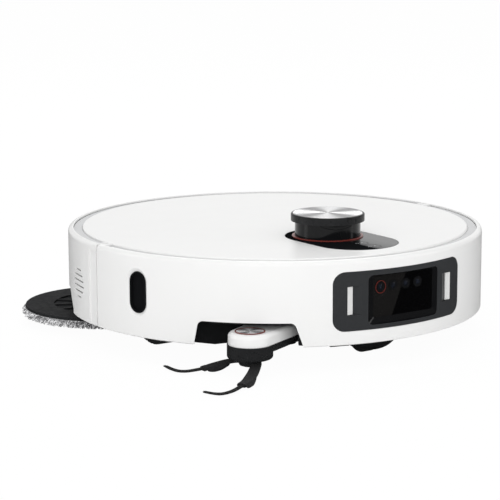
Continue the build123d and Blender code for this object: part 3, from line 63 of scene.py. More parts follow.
class Finish:
    """A node material in the making: a Principled shader and the textures that feed it."""

    def __init__(self, name, color, roughness, **inputs):
        self.material = bpy.data.materials.new(name)
        self.material.use_nodes = True
        self.tree = self.material.node_tree
        self.shader = self.tree.nodes["Principled BSDF"]
        self.color = color
        self.normal = None
        self.coords = self.node("ShaderNodeTexCoord")
        self.shader.inputs["Base Color"].default_value = (*color, 1.0)
        self.shader.inputs["Roughness"].default_value = roughness
        for key, value in inputs.items():
            self.shader.inputs[key.replace("_", " ")].default_value = value

    def node(self, kind, **settings):
        made = self.tree.nodes.new(kind)
        for key, value in settings.items():
            setattr(made, key, value)
        return made

    def link(self, source, target):
        self.tree.links.new(source, target)

    def place(self, stretch=(1, 1, 1), turn=(0, 0, 0)):
        """Object coordinates in metres, stretched and turned."""
        mapping = self.node("ShaderNodeMapping")
        self.link(self.coords.outputs["Object"], mapping.inputs["Vector"])
        mapping.inputs["Scale"].default_value = stretch
        mapping.inputs["Rotation"].default_value = turn
        return mapping.outputs["Vector"]

    def noise(self, size, detail=2.0, stretch=(1, 1, 1)):
        """Noise with features of about the given size in metres."""
        texture = self.node("ShaderNodeTexNoise")
        self.link(self.place(stretch), texture.inputs["Vector"])
        texture.inputs["Scale"].default_value = 1.0 / size
        texture.inputs["Detail"].default_value = detail
        return texture.outputs["Fac"]

    def cells(self, size):
        """Distances to scattered points about the given size apart."""
        texture = self.node("ShaderNodeTexVoronoi")
        self.link(self.place(), texture.inputs["Vector"])
        texture.inputs["Scale"].default_value = 1.0 / size
        return texture.outputs["Distance"]

    def waves(self, size, turn=(0, 0, 0), distortion=0.0):
        """Parallel bands with the given pitch in metres, across the local x axis."""
        texture = self.node("ShaderNodeTexWave")
        self.link(self.place(turn=turn), texture.inputs["Vector"])
        texture.inputs["Scale"].default_value = math.pi / 10 / size
        texture.inputs["Distortion"].default_value = distortion
        return texture.outputs["Fac"]

    def remap(self, value, low, high, first=0.3, last=0.7):
        mapped = self.node("ShaderNodeMapRange")
        self.link(value, mapped.inputs["Value"])
        mapped.inputs["From Min"].default_value = first
        mapped.inputs["From Max"].default_value = last
        mapped.inputs["To Min"].default_value = low
        mapped.inputs["To Max"].default_value = high
        return mapped.outputs["Result"]

    def blend_color(self, value, dark, light, first=0.3, last=0.7):
        """The base colour runs from dark to light as the value does."""
        mix = self.node("ShaderNodeMix", data_type="RGBA")
        self.link(self.remap(value, 0.0, 1.0, first, last), mix.inputs["Factor"])
        mix.inputs["A"].default_value = (*dark, 1.0)
        mix.inputs["B"].default_value = (*light, 1.0)
        self.link(mix.outputs["Result"], self.shader.inputs["Base Color"])
        return self

    def shade(self, value, amount):
        """The base colour varies by an amount either way."""
        dark = [c * (1 - amount) for c in self.color]
        light = [c * (1 + amount) for c in self.color]
        return self.blend_color(value, dark, light)

    def drive(self, name, value, low, high, first=0.3, last=0.7):
        """A shader input runs from low to high as the value does."""
        self.link(self.remap(value, low, high, first, last), self.shader.inputs[name])
        return self

    def bump(self, value, depth, strength=1.0):
        """Relief of the given depth in metres, on top of any relief so far."""
        bump = self.node("ShaderNodeBump")
        bump.inputs["Distance"].default_value = depth
        bump.inputs["Strength"].default_value = strength
        self.link(value, bump.inputs["Height"])
        if self.normal is not None:
            self.link(self.normal, bump.inputs["Normal"])
        self.normal = bump.outputs["Normal"]
        self.link(self.normal, self.shader.inputs["Normal"])
        return self

    def recess_mask(self, node, depth, half_width):
        """1 where the surface lies deeper than depth inside the node's round front, near its middle."""
        front = -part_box(node)[0].y
        split = self.node("ShaderNodeSeparateXYZ")
        self.link(self.place(), split.inputs["Vector"])
        flat = self.node("ShaderNodeVectorMath", operation="MULTIPLY")
        self.link(self.place(), flat.inputs[0])
        flat.inputs[1].default_value = (1, 1, 0)
        radius = self.node("ShaderNodeVectorMath", operation="LENGTH")
        self.link(flat.outputs["Vector"], radius.inputs[0])
        deep = self.node("ShaderNodeMath", operation="LESS_THAN")
        self.link(radius.outputs["Value"], deep.inputs[0])
        deep.inputs[1].default_value = front - depth
        across = self.node("ShaderNodeMath", operation="ABSOLUTE")
        self.link(split.outputs["X"], across.inputs[0])
        near = self.node("ShaderNodeMath", operation="LESS_THAN")
        self.link(across.outputs["Value"], near.inputs[0])
        near.inputs[1].default_value = half_width
        both = self.node("ShaderNodeMath", operation="MULTIPLY")
        self.link(deep.outputs["Value"], both.inputs[0])
        self.link(near.outputs["Value"], both.inputs[1])
        return both.outputs["Value"]

    def edge_highlights(self, light, width=0.0006, amount=0.5):
        """Painted highlight: edges are painted a little lighter, found by the angle of a bevelled normal."""
        bevel = self.node("ShaderNodeBevel", samples=4)
        bevel.inputs["Radius"].default_value = width
        geometry = self.node("ShaderNodeNewGeometry")
        dot = self.node("ShaderNodeVectorMath", operation="DOT_PRODUCT")
        self.link(bevel.outputs["Normal"], dot.inputs[0])
        self.link(geometry.outputs["Normal"], dot.inputs[1])
        highlight = self.remap(dot.outputs["Value"], amount, 0.0, 0.82, 0.99)
        mix = self.node("ShaderNodeMix", data_type="RGBA")
        self.link(highlight, mix.inputs["Factor"])
        base = self.shader.inputs["Base Color"]
        if base.is_linked:
            self.link(base.links[0].from_socket, mix.inputs["A"])
        else:
            mix.inputs["A"].default_value = base.default_value
        mix.inputs["B"].default_value = (*light, 1.0)
        self.link(mix.outputs["Result"], base)
        return self


def white_shell():
    made = Finish("white_shell", (0.80, 0.80, 0.795), 0.34, Coat_Weight=0.12, Coat_Roughness=0.18)
    made.shade(made.noise(0.09, 3.0), 0.006)
    made.drive("Roughness", made.noise(0.02, 4.0), 0.31, 0.37)
    made.bump(made.noise(0.0016, 2.0), 3e-6).bump(made.noise(0.0003, 1.0), 1.5e-6)
    return made.material


def groove_grey():
    made = Finish("groove_grey", (0.56, 0.565, 0.57), 0.5)
    made.shade(made.noise(0.03), 0.012)
    made.bump(made.cells(0.0005), 1.2e-5)
    return made.material


def moulded_black(name="moulded_black", color=(0.014, 0.0145, 0.0155), roughness=0.5, specular=0.16):
    """Black plastic with a spark-eroded grain, and a painted highlight that makes its edges a little lighter.
    """
    made = Finish(name, color, roughness, Specular_IOR_Level=specular)
    made.shade(made.noise(0.012, 4.0), 0.12)
    made.drive("Roughness", made.noise(0.004, 3.0), roughness - 0.07, roughness + 0.08)
    made.bump(made.cells(0.00045), 2.5e-5).bump(made.noise(0.002, 2.0), 1.0e-5)
    # painted highlight: the edges are a little lighter in colour
    made.edge_highlights([c * 2.6 for c in color], amount=0.35)
    return made.material


def piano_black(name="piano_black", roughness=0.09, specular=0.28, fade=None):
    """Glossy black with faint haze where hands have been. It can fade from dull to glossy along x."""
    made = Finish(name, (0.0065, 0.0068, 0.0075), roughness, Specular_IOR_Level=specular)
    made.drive("Roughness", made.noise(0.03, 5.0), roughness, roughness + 0.07, 0.45, 0.75)
    made.bump(made.noise(0.004, 2.0), 4e-6)
    if fade:
        split = made.node("ShaderNodeSeparateXYZ")
        made.link(made.place(), split.inputs["Vector"])
        made.drive("Specular IOR Level", split.outputs["X"], 0.0, specular, *fade)
    return made.material


def gunmetal():
    made = Finish("gunmetal", (0.040, 0.042, 0.045), 0.36, Metallic=0.25, Specular_IOR_Level=0.4)
    made.shade(made.noise(0.0004, 2.0), 0.22)
    made.drive("Roughness", made.noise(0.01, 3.0), 0.33, 0.41)
    made.bump(made.noise(0.00035, 1.0), 6e-6)
    # painted highlight: the edges are a little lighter in colour
    made.edge_highlights((0.10, 0.105, 0.11), width=0.0004, amount=0.3)
    inner = made.recess_mask("front_bezel", RECESS_DEPTH, RECESS_HALF_WIDTH)
    mix = made.node("ShaderNodeMix", data_type="RGBA")
    base = made.shader.inputs["Base Color"]
    made.link(inner, mix.inputs["Factor"])
    made.link(base.links[0].from_socket, mix.inputs["A"])
    mix.inputs["B"].default_value = (0.007, 0.0072, 0.008, 1.0)
    made.link(mix.outputs["Result"], base)
    rough = made.node("ShaderNodeMix", data_type="FLOAT")
    made.link(inner, rough.inputs["Factor"])
    made.link(made.shader.inputs["Roughness"].links[0].from_socket, rough.inputs["A"])
    rough.inputs["B"].default_value = 0.1
    made.link(rough.outputs["Result"], made.shader.inputs["Roughness"])
    return made.material


def camera_glass():
    """Tinted glass, with a brighter reflection left of a slanting line."""
    made = Finish("camera_glass", (0.0015, 0.0015, 0.002), 0.04, Specular_IOR_Level=0.3)
    low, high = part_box("front_glass")
    split = made.node("ShaderNodeSeparateXYZ")
    made.link(made.place(), split.inputs["Vector"])
    slant = made.node("ShaderNodeMath", operation="MULTIPLY_ADD")
    made.link(split.outputs["Z"], slant.inputs[0])
    slant.inputs[1].default_value = GLARE_SLOPE
    made.link(split.outputs["X"], slant.inputs[2])
    middle = (low.x + high.x) / 2 + GLARE_SLOPE * (low.z + high.z) / 2 - GLARE_SHIFT
    made.blend_color(slant.outputs["Value"], (0.0085, 0.0082, 0.008), (0.0008, 0.0008, 0.001),
                     middle - GLARE_EDGE, middle + GLARE_EDGE)
    made.bump(made.noise(0.02, 1.0), 2e-6)
    return made.material


def lens_glass():
    made = Finish("lens_glass", (0.006, 0.008, 0.014), 0.02, Coat_Weight=1.0, Coat_Roughness=0.01)
    made.shade(made.noise(0.003, 1.0), 0.3)
    return made.material


def accent_red():
    made = Finish("accent_red", (0.20, 0.032, 0.024), 0.3, Metallic=0.2)
    made.shade(made.noise(0.001, 2.0), 0.08)
    made.bump(made.noise(0.0003, 1.0), 3e-6)
    return made.material


def diffuser():
    """Pale diffusing plastic with fine upright ribs."""
    made = Finish("diffuser", (0.62, 0.62, 0.615), 0.4, Emission_Strength=0.04)
    made.shader.inputs["Emission Color"].default_value = (1.0, 0.99, 0.96, 1.0)
    made.shade(made.noise(0.003, 3.0), 0.03)
    made.bump(made.waves(0.0007, turn=(0, math.pi / 2, 0)), 4e-5)
    return made.material


def spun_metal(name="spun_metal", turn=0.0, metallic=1.0):
    """Aluminium turned on a lathe: circular scratches, and bright rays that fan out from the middle, a
    painted highlight in the base colour.
    """
    made = Finish(name, (0.62, 0.62, 0.625), 0.24, Metallic=metallic, Anisotropic=0.85)
    tangent = made.node("ShaderNodeTangent", direction_type="RADIAL", axis="Z")
    made.link(tangent.outputs["Tangent"], made.shader.inputs["Tangent"])
    centre = made.node("ShaderNodeVectorMath", operation="SUBTRACT")
    made.link(made.coords.outputs["Generated"], centre.inputs[0])
    centre.inputs[1].default_value = (0.5, 0.5, 0.5)
    flat = made.node("ShaderNodeVectorMath", operation="MULTIPLY")
    made.link(centre.outputs["Vector"], flat.inputs[0])
    flat.inputs[1].default_value = (1, 1, 0)
    radius = made.node("ShaderNodeVectorMath", operation="LENGTH")
    made.link(flat.outputs["Vector"], radius.inputs[0])
    scratches = made.node("ShaderNodeTexNoise", noise_dimensions="1D")
    made.link(radius.outputs["Value"], scratches.inputs["W"])
    scratches.inputs["Scale"].default_value = SPUN_SCRATCHES
    scratches.inputs["Detail"].default_value = 4
    made.drive("Roughness", scratches.outputs["Fac"], 0.16, 0.34)
    # painted highlight: the base colour is lighter along rays round the middle, broken up by the scratches
    round_about = made.node("ShaderNodeTexGradient", gradient_type="RADIAL")
    made.link(flat.outputs["Vector"], round_about.inputs["Vector"])
    angle = made.node("ShaderNodeMath", operation="MULTIPLY_ADD")
    made.link(round_about.outputs["Fac"], angle.inputs[0])
    angle.inputs[1].default_value = 2 * math.pi * HIGHLIGHT_RAYS
    angle.inputs[2].default_value = turn * HIGHLIGHT_RAYS
    rays = made.node("ShaderNodeMath", operation="COSINE")
    made.link(angle.outputs["Value"], rays.inputs[0])
    ray_highlight = made.node("ShaderNodeMath", operation="MULTIPLY_ADD")
    made.link(scratches.outputs["Fac"], ray_highlight.inputs[0])
    ray_highlight.inputs[1].default_value = 0.5
    made.link(rays.outputs["Value"], ray_highlight.inputs[2])
    made.blend_color(ray_highlight.outputs["Value"], (0.26, 0.26, 0.265), (0.93, 0.93, 0.935), -0.6, 1.2)
    made.bump(scratches.outputs["Fac"], 6e-6)
    return made.material


def drawn_steel(name, color=(0.55, 0.55, 0.56), roughness=0.3):
    made = Finish(name, color, roughness, Metallic=1.0)
    made.shade(made.noise(0.004, 3.0), 0.06)
    made.drive("Roughness", made.noise(0.0007, 2.0, (1, 1, 6)), roughness - 0.08, roughness + 0.1)
    made.bump(made.noise(0.0002, 1.0, (1, 1, 12)), 3e-6)
    return made.material


def rubber(name, color=(0.016, 0.016, 0.017), roughness=0.62, dust=0.05):
    """Soft rubber with a fine powdery bloom."""
    made = Finish(name, color, roughness, Specular_IOR_Level=0.3, Sheen_Weight=dust)
    made.shade(made.noise(0.006, 5.0), 0.25)
    made.drive("Roughness", made.noise(0.003, 4.0), roughness - 0.06, roughness + 0.1)
    made.bump(made.noise(0.0012, 4.0), 3e-5)
    # painted highlight: the edges are a little lighter in colour
    made.edge_highlights([c * 2.4 for c in color], amount=0.4)
    return made.material


def fibre(name, dark, light, roughness=0.85):
    """Yarn: every strand has its own shade, with fine twist along it."""
    made = Finish(name, light, roughness, Sheen_Weight=0.35, Sheen_Roughness=0.5, Specular_IOR_Level=0.15)
    geometry = made.node("ShaderNodeNewGeometry")
    made.blend_color(geometry.outputs["Random Per Island"], dark, light, 0.05, 0.95)
    made.bump(made.noise(0.0004, 3.0), 8e-5)
    return made.material


def pad_backing():
    """Grey felt between the tufts."""
    made = Finish("pad_backing", (0.17, 0.17, 0.175), 0.9, Sheen_Weight=0.3, Specular_IOR_Level=0.1)
    made.shade(made.noise(0.0015, 5.0), 0.35)
    made.bump(made.noise(0.0007, 4.0), 2e-4)
    return made.material


def smoked_plastic():
    made = Finish("smoked_plastic", (0.10, 0.105, 0.115), 0.12, Transmission_Weight=0.35, IOR=1.5)
    made.shade(made.noise(0.02, 3.0), 0.1)
    made.bump(made.noise(0.003, 2.0), 6e-6)
    return made.material


def filter_paper():
    made = Finish("filter_paper", (0.72, 0.71, 0.66), 0.9)
    made.shade(made.noise(0.0008, 4.0), 0.08)
    made.bump(made.noise(0.0003, 3.0), 5e-5)
    return made.material


def battery_wrap():
    made = Finish("battery_wrap", (0.03, 0.07, 0.22), 0.22, Coat_Weight=0.4)
    made.shade(made.noise(0.01, 3.0), 0.15)
    made.bump(made.noise(0.004, 4.0), 1.5e-4)
    return made.material


def circuit_board():
    """Green solder mask with paler copper runs under it."""
    made = Finish("circuit_board", (0.01, 0.10, 0.04), 0.3, Coat_Weight=0.5)
    runs = made.node("ShaderNodeTexBrick")
    made.link(made.place((260, 260, 260)), runs.inputs["Vector"])
    made.blend_color(runs.outputs["Fac"], (0.008, 0.09, 0.035), (0.05, 0.22, 0.08), 0.0, 1.0)
    made.bump(made.noise(0.002, 4.0), 3e-5)
    return made.material


def plated_contact():
    made = Finish("plated_contact", (0.80, 0.74, 0.55), 0.16, Metallic=1.0)
    made.drive("Roughness", made.noise(0.0006, 2.0, (1, 14, 1)), 0.12, 0.3)
    made.shade(made.noise(0.002, 3.0), 0.05)
    return made.material


def pale_mark():
    made = Finish("pale_mark", (0.52, 0.53, 0.54), 0.5)
    made.shade(made.noise(0.0005, 2.0), 0.08)
    return made.material


SHELL = white_shell()
GROOVE = groove_grey()
BLACK = moulded_black()
GLOSS = piano_black()
DRUM = moulded_black("drum_black", (0.015, 0.0155, 0.0165), 0.3, 0.4)
PANEL = piano_black("panel_black", 0.1, 0.3, fade=PANEL_FADE)
PLATE = moulded_black("plate_black", (0.019, 0.0195, 0.0205), 0.6, 0.02)
CAP = moulded_black("cap_black", (0.020, 0.0205, 0.0215), 0.3)
# the turn sets where the painted highlight rays lie
METAL = spun_metal(turn=math.radians(44))
BADGE = spun_metal("badge_metal", math.radians(26), 0.35)
SENSOR = piano_black("sensor_black", 0.12, 0.04)
LENS_RING = Finish("lens_ring_red", (0.10, 0.016, 0.012), 0.4, Specular_IOR_Level=0.2)
LENS_RING.shade(LENS_RING.noise(0.001), 0.15).bump(LENS_RING.noise(0.0004), 5e-6)
ACCENT = accent_red()
RUBBER = rubber("brush_rubber")
GREY = moulded_black("moulded_grey", (0.10, 0.10, 0.105), 0.45)
FELT = pad_backing()
HEM = fibre("hem_tape", (0.24, 0.24, 0.245), (0.30, 0.30, 0.305))
MARK = pale_mark()
SLOT_FINISHES = {
    "white_plastic": SHELL,
    "groove_plastic": GROOVE,
    "black_plastic": BLACK,
    "gloss_black": GLOSS,
    "bezel_metal": gunmetal(),
    "camera_glass": camera_glass(),
    "lens": lens_glass(),
    "accent": ACCENT,
    "light_diffuser": diffuser(),
    "disc_metal": METAL,
    "spring_steel": drawn_steel("spring_steel"),
    "screw_steel": drawn_steel("screw_steel", (0.40, 0.40, 0.42), 0.35),
    "contact_metal": plated_contact(),
    "tyre_rubber": rubber("tyre_rubber", (0.020, 0.020, 0.021), 0.7, 0.1),
    "castor_plastic": moulded_black("castor_plastic", (0.03, 0.03, 0.031), 0.4),
    "hub_plastic": GREY,
    "brush_rubber": RUBBER,
    "bristle": rubber("bristle_nylon", (0.018, 0.018, 0.018), 0.4, 0.02),
    "microfibre": fibre("microfibre", (0.11, 0.11, 0.115), (0.92, 0.92, 0.93)),
    "bin_plastic": smoked_plastic(),
    "filter_paper": filter_paper(),
    "housing_plastic": moulded_black("housing_plastic", (0.05, 0.05, 0.053), 0.5),
    "battery_wrap": battery_wrap(),
    "board": circuit_board(),
    "motor_can": drawn_steel("motor_can", (0.50, 0.50, 0.50), 0.35),
}
NODE_FINISHES = {
    "control_panel": PANEL,
    "power_button": PANEL,
    "home_button": PANEL,
    "turret_cap": CAP,
    "right_mop_plate": PLATE,
    "left_mop_plate": PLATE,
    "wall_sensor_window": SENSOR,
    "wall_sensor_bezel": SENSOR,
    "lens_ring": LENS_RING.material,
    "side_arm_badge": BADGE,
    "side_arm_housing": DRUM,
}


def finish_cad_nodes():
    """Every CAD node takes the finish of its material slot."""
    for entry in frame["record"]["subparts"]:
        node = frame["nodes"][entry["node"]]
        made = NODE_FINISHES.get(entry["node"], SLOT_FINISHES[entry["material_slot"]])
        if not node.data.materials:
            node.data.materials.append(made)
        for index in range(len(node.data.materials)):
            node.data.materials[index] = made


# ------------------------------------------------------------------ mesh helpers

FLOOR_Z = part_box("left_tyre")[0].z


def piece(name, mesh, material, body, stands_for=()):
    """An object from a bmesh, with its material, and its body unless that comes later; the CAD parts it
    stands for are hidden.
    """
    bmesh.ops.recalc_face_normals(mesh, faces=mesh.faces)
    data = bpy.data.meshes.new(name)
    mesh.to_mesh(data)
    mesh.free()
    for polygon in data.polygons:
        polygon.use_smooth = True
    data.materials.append(material)
    made = bpy.data.objects.new(name, data)
    bpy.context.scene.collection.objects.link(made)
    if body:
        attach(made, body)
    if stands_for:
        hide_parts(*stands_for)
    return made


def soften(made, angle=35):
    """Shades edges sharper than the angle as edges."""
    with bpy.context.temp_override(object=made, active_object=made, selected_editable_objects=[made]):
        bpy.ops.object.shade_smooth_by_angle(angle=math.radians(angle))
    return made


def lathe(mesh, profile, origin, axis="Z", segments=96):
    """Turns a closed profile of (radius, height) pairs round an axis through the origin."""
    rings = []
    for radius, height in profile:
        ring = []
        for step in range(segments):
            a = 2 * math.pi * step / segments
            u, v = radius * math.cos(a), radius * math.sin(a)
            local = {"Z": (u, v, height), "Y": (u, height, v), "X": (height, u, v)}[axis]
            ring.append(mesh.verts.new(Vector(origin) + Vector(local)))
        rings.append(ring)
    for index, ring in enumerate(rings):
        following = rings[(index + 1) % len(rings)]
        for step in range(segments):
            ahead = (step + 1) % segments
            mesh.faces.new((ring[step], ring[ahead], following[ahead], following[step]))
    return mesh


def spline_point(points, t):
    """A point on a smooth curve through the given points, t from 0 to 1."""
    spans = len(points) - 1
    at = min(int(t * spans), spans - 1)
    u = t * spans - at
    a, b, c, d = (Vector(points[max(0, min(spans, at + k))]) for k in (-1, 0, 1, 2))
    return 0.5 * (2 * b + (c - a) * u + (2 * a - 5 * b + 4 * c - d) * u ** 2
                  + (3 * b - a - 3 * c + d) * u ** 3)


def sweep(mesh, points, section, steps=20, up=(0, 0, 1)):
    """Sweeps a closed section along a spline. section(t) gives (across, up) pairs in metres."""
    rings = []
    for step in range(steps + 1):
        t = step / steps
        here = spline_point(points, t)
        ahead = spline_point(points, min(1, t + 0.01)) - spline_point(points, max(0, t - 0.01))
        ahead.normalize()
        across = Vector(up).cross(ahead).normalized()
        lift = ahead.cross(across)
        rings.append([mesh.verts.new(here + across * u + lift * v) for u, v in section(t)])
    count = len(rings[0])
    for low, high in zip(rings, rings[1:]):
        for k in range(count):
            mesh.faces.new((low[k], low[(k + 1) % count], high[(k + 1) % count], high[k]))
    mesh.faces.new(rings[0])
    mesh.faces.new(rings[-1])
    return mesh


def rounded_rectangle(width, height, radius, corner_steps=3):
    """Points of a rounded rectangle centred on the origin."""
    points = []
    for quarter, (sx, sy) in enumerate(((1, 1), (-1, 1), (-1, -1), (1, -1))):
        for step in range(corner_steps + 1):
            a = math.pi / 2 * (quarter + step / corner_steps)
            points.append((sx * (width / 2 - radius) + radius * math.cos(a),
                           sy * (height / 2 - radius) + radius * math.sin(a)))
    return points


def circle_section(radius, sides=6):
    return [(radius * math.cos(2 * math.pi * k / sides), radius * math.sin(2 * math.pi * k / sides))
            for k in range(sides)]


def centre_of(node):
    low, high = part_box(node)
    return (low + high) / 2


# ------------------------------------------------------------------ mop pads

STRAND_R = 0.75 * MM
SIDE_ROWS = 5
SIDE_STRANDS = 230              # strands in each row round the rim
SIDE_LENGTH = (3.0, 5.2)        # millimetres
UNDER_RINGS = 20
UNDER_PITCH = 3.4 * MM
UNDER_LENGTH = (3.2, 4.6)
PILE_OUT = 2.4 * MM             # the pile stands this far out of the felt, and this far past the pad's edge
PILE_DOWN = 1.6 * MM
FELT_SEGMENTS = 112
FELT_STEP = 4.0 * MM
FELT_THIN = 0.9 * MM
FELT_MIDDLE = 0.4 * MM
STITCH_EVERY = 5                # rings of the felt from one stitched ring to the next
CLOTH_FRAMES = 20
CLOTH_PRESSURE = 4.0
PUFF = 1.2 * MM                 # the simulation moves no point further than this
PAD_SEEDS = {"right": 7, "left": 8}


def strand(mesh, root, direction, length, radius, rng, sag=0.3):
    """One short curled strand of yarn."""
    bend = Vector((rng.uniform(-1, 1), rng.uniform(-1, 1), rng.uniform(-1, 1))) * length * 0.28
    tip = root + direction * length + Vector((0, 0, -sag * length))
    points = [root - direction * radius, root + direction * length * 0.5 + bend, tip]
    sweep(mesh, points, lambda t: circle_section(radius * (1.0 - 0.4 * t), 5), 4,
          up=(0.31, 0.17, 0.93))


def inflate(made, stitched, cap):
    """Blows up a sewn cloth form by simulation, held at its stitches, and keeps the result in the mesh."""
    scene = bpy.context.scene
    group = made.vertex_groups.new(name="stitches")
    group.add(stitched, 1.0, "REPLACE")
    start = [v.co.copy() for v in made.data.vertices]
    cloth = made.modifiers.new("cloth", "CLOTH")
    cloth.settings.vertex_group_mass = "stitches"
    cloth.settings.use_pressure = True
    cloth.settings.uniform_pressure_force = CLOTH_PRESSURE
    cloth.settings.effector_weights.gravity = 0.0
    cloth.settings.quality = 6
    cloth.point_cache.frame_end = CLOTH_FRAMES
    for number in range(1, CLOTH_FRAMES + 1):
        scene.frame_set(number)
    blown = made.evaluated_get(bpy.context.evaluated_depsgraph_get())
    moved = [v.co.copy() for v in blown.data.vertices]
    made.modifiers.remove(cloth)
    scene.frame_set(1)
    for vertex, old, new in zip(made.data.vertices, start, moved):
        shift = new - old
        if shift.length > cap:
            shift *= cap / shift.length
        vertex.co = old + shift
    made.vertex_groups.clear()


def felt_disc(node, centre, core, floor, top, body):
    """The pad's body: a round felt cushion sewn down in rings, blown up by a cloth simulation."""
    count = int(core / FELT_STEP)
    radii = [core * k / count for k in range(1, count)]
    low, high = floor + FELT_THIN, top - FELT_THIN
    edge = core - 0.5 * MM
    rim = [(edge, low + FELT_THIN), (core, (floor + top) / 2), (edge, high)]
    radii = [FELT_MIDDLE] + radii
    profile = [(r, low) for r in radii] + rim + [(r, high) for r in reversed(radii)]
    mesh = bmesh.new()
    lathe(mesh, profile, (centre.x, centre.y, 0), segments=FELT_SEGMENTS)
    felt = piece(f"{node}_felt", mesh, FELT, None, (node,))
    held = []
    for ring in range(len(profile)):
        on_seam = min(ring, len(profile) - 1 - ring) % STITCH_EVERY == 0
        if on_seam:
            held.extend(range(ring * FELT_SEGMENTS, (ring + 1) * FELT_SEGMENTS))
    inflate(felt, held, PUFF)
    for vertex in felt.data.vertices:
        vertex.co.z = min(max(vertex.co.z, floor), top)
    smooth = felt.modifiers.new("smooth", "SUBSURF")
    smooth.levels = smooth.render_levels = 1
    with bpy.context.temp_override(object=felt, active_object=felt, selected_objects=[felt]):
        bpy.ops.object.modifier_apply(modifier="smooth")
    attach(felt, body)


def mop_pad(side, body):
    """A microfibre pad: a sewn felt disc with a deep pile of short curled strands."""
    node = f"{side}_mop_pad"
    low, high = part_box(node)
    centre = centre_of(node)
    radius = (high.x - low.x) / 2
    core, floor, top = radius - PILE_OUT, low.z + PILE_DOWN, high.z - 0.1 * MM
    rng = random.Random(PAD_SEEDS[side])
    felt_disc(node, centre, core, floor, top, body)
    pile = bmesh.new()
    for row in range(SIDE_ROWS):
        height = floor + (top - floor) * (row + 0.4) / SIDE_ROWS
        droop = -0.9 + 0.9 * row / SIDE_ROWS
        for k in range(SIDE_STRANDS):
            a = 2 * math.pi * (k + rng.random()) / SIDE_STRANDS
            out = Vector((math.cos(a), math.sin(a), 0))
            along = Vector((-out.y, out.x, 0)) * rng.uniform(-0.9, 0.9)
            root = Vector((centre.x, centre.y, height)) + out * (core - 0.4 * MM)
            direction = (out + along + Vector((0, 0, droop + rng.uniform(-0.5, 0.5)))).normalized()
            length = rng.uniform(*SIDE_LENGTH) * MM
            reach = (root + direction * length - Vector((centre.x, centre.y, 0))).xy.length
            if reach > radius + PILE_OUT:
                length *= 0.7
            strand(pile, root, direction, length, STRAND_R, rng, 0.12)
    for ring in range(UNDER_RINGS):
        r = core * (ring + 0.6) / UNDER_RINGS
        count = max(4, int(2 * math.pi * r / UNDER_PITCH))
        for k in range(count):
            a = 2 * math.pi * (k + rng.random() * 0.8) / count
            root = Vector((centre.x + r * math.cos(a), centre.y + r * math.sin(a), floor + 0.2 * MM))
            spin = rng.uniform(0, 2 * math.pi)
            direction = Vector((math.cos(spin), math.sin(spin), -0.3)).normalized()
            strand(pile, root, direction, rng.uniform(*UNDER_LENGTH) * MM, STRAND_R * 1.2, rng, 0.0)
    for vertex in pile.verts:
        vertex.co.z = min(max(vertex.co.z, low.z + 0.1 * MM), high.z - 0.05 * MM)
    piece(f"{node}_pile", pile, SLOT_FINISHES["microfibre"], body, (node,))
    hem = bmesh.new()
    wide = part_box(f"{side}_mop_plate")[1].x - centre.x
    inner, outer, upper = core - 2 * MM, wide + 0.3 * MM, top - 0.05 * MM
    profile = [(inner, top - 0.7 * MM), (outer, top - 0.9 * MM), (wide + 0.75 * MM, top - 0.5 * MM),
               (outer, upper), (inner, upper)]
    lathe(hem, profile, (centre.x, centre.y, 0), segments=144)
    piece(f"{node}_hem", hem, HEM, body, (node,))


# ------------------------------------------------------------------ side brush

HUB_SEGMENTS = 64
HUB_PROFILE = ((0.2, 0.5), (9.0, 0.5), (9.0, -2.6), (8.2, -4.2), (6.0, -5.0), (3.2, -5.1), (2.4, -4.3),
               (0.2, -4.2))
PADDLE_WIDE = (7.6, 1.4)        # at the ends, and more in the middle
PADDLE_THICK = (2.6, 0.5)       # at the hub, and less at the tip
COLLAR = (7.4, 3.2, 1.2)        # width, height and corner
COLLAR_SPAN = (0.86, 0.14)      # where it starts along the paddle, and its share of it
FIN_SPAN = (0.42, 0.5)
FIN_ACROSS = 3.4 * MM           # the fin hangs from the near edge of its paddle
BUNDLE_HALF = (2.3, 1.0)        # half the width and height of a bundle of bristles
BRISTLES = 70                   # in each bundle
BRISTLE_R = 0.2 * MM
BRUSH_SEED = 21
PADDLE_PATHS = (
    ((-112.0, -130.5, -2.4), (-124.0, -116.0, -3.5), (-137.0, -110.0, -6.0), (-149.0, -109.0, -8.0)),
    ((-118.0, -138.0, -2.6), (-132.0, -152.0, -5.6), (-143.0, -161.0, -7.6), (-153.0, -167.0, -8.8)),
)
BRISTLE_PATHS = (
    ((-146.0, -109.0, -7.7), (-160.0, -105.0, -9.0), (-165.0, -95.0, -9.7), (-164.0, -78.0, -9.4)),
    ((-150.0, -165.4, -8.6), (-166.0, -174.0, -9.4), (-179.0, -175.0, -9.7), (-185.0, -163.0, -9.4)),
)


def in_metres(points):
    return [Vector(p) * MM for p in points]


def part_of(points, span, spans):
    """Points along a stretch of a curve, from its start and its share of the whole."""
    start, share = span
    return [spline_point(points, start + share * k / spans) for k in range(spans + 1)]


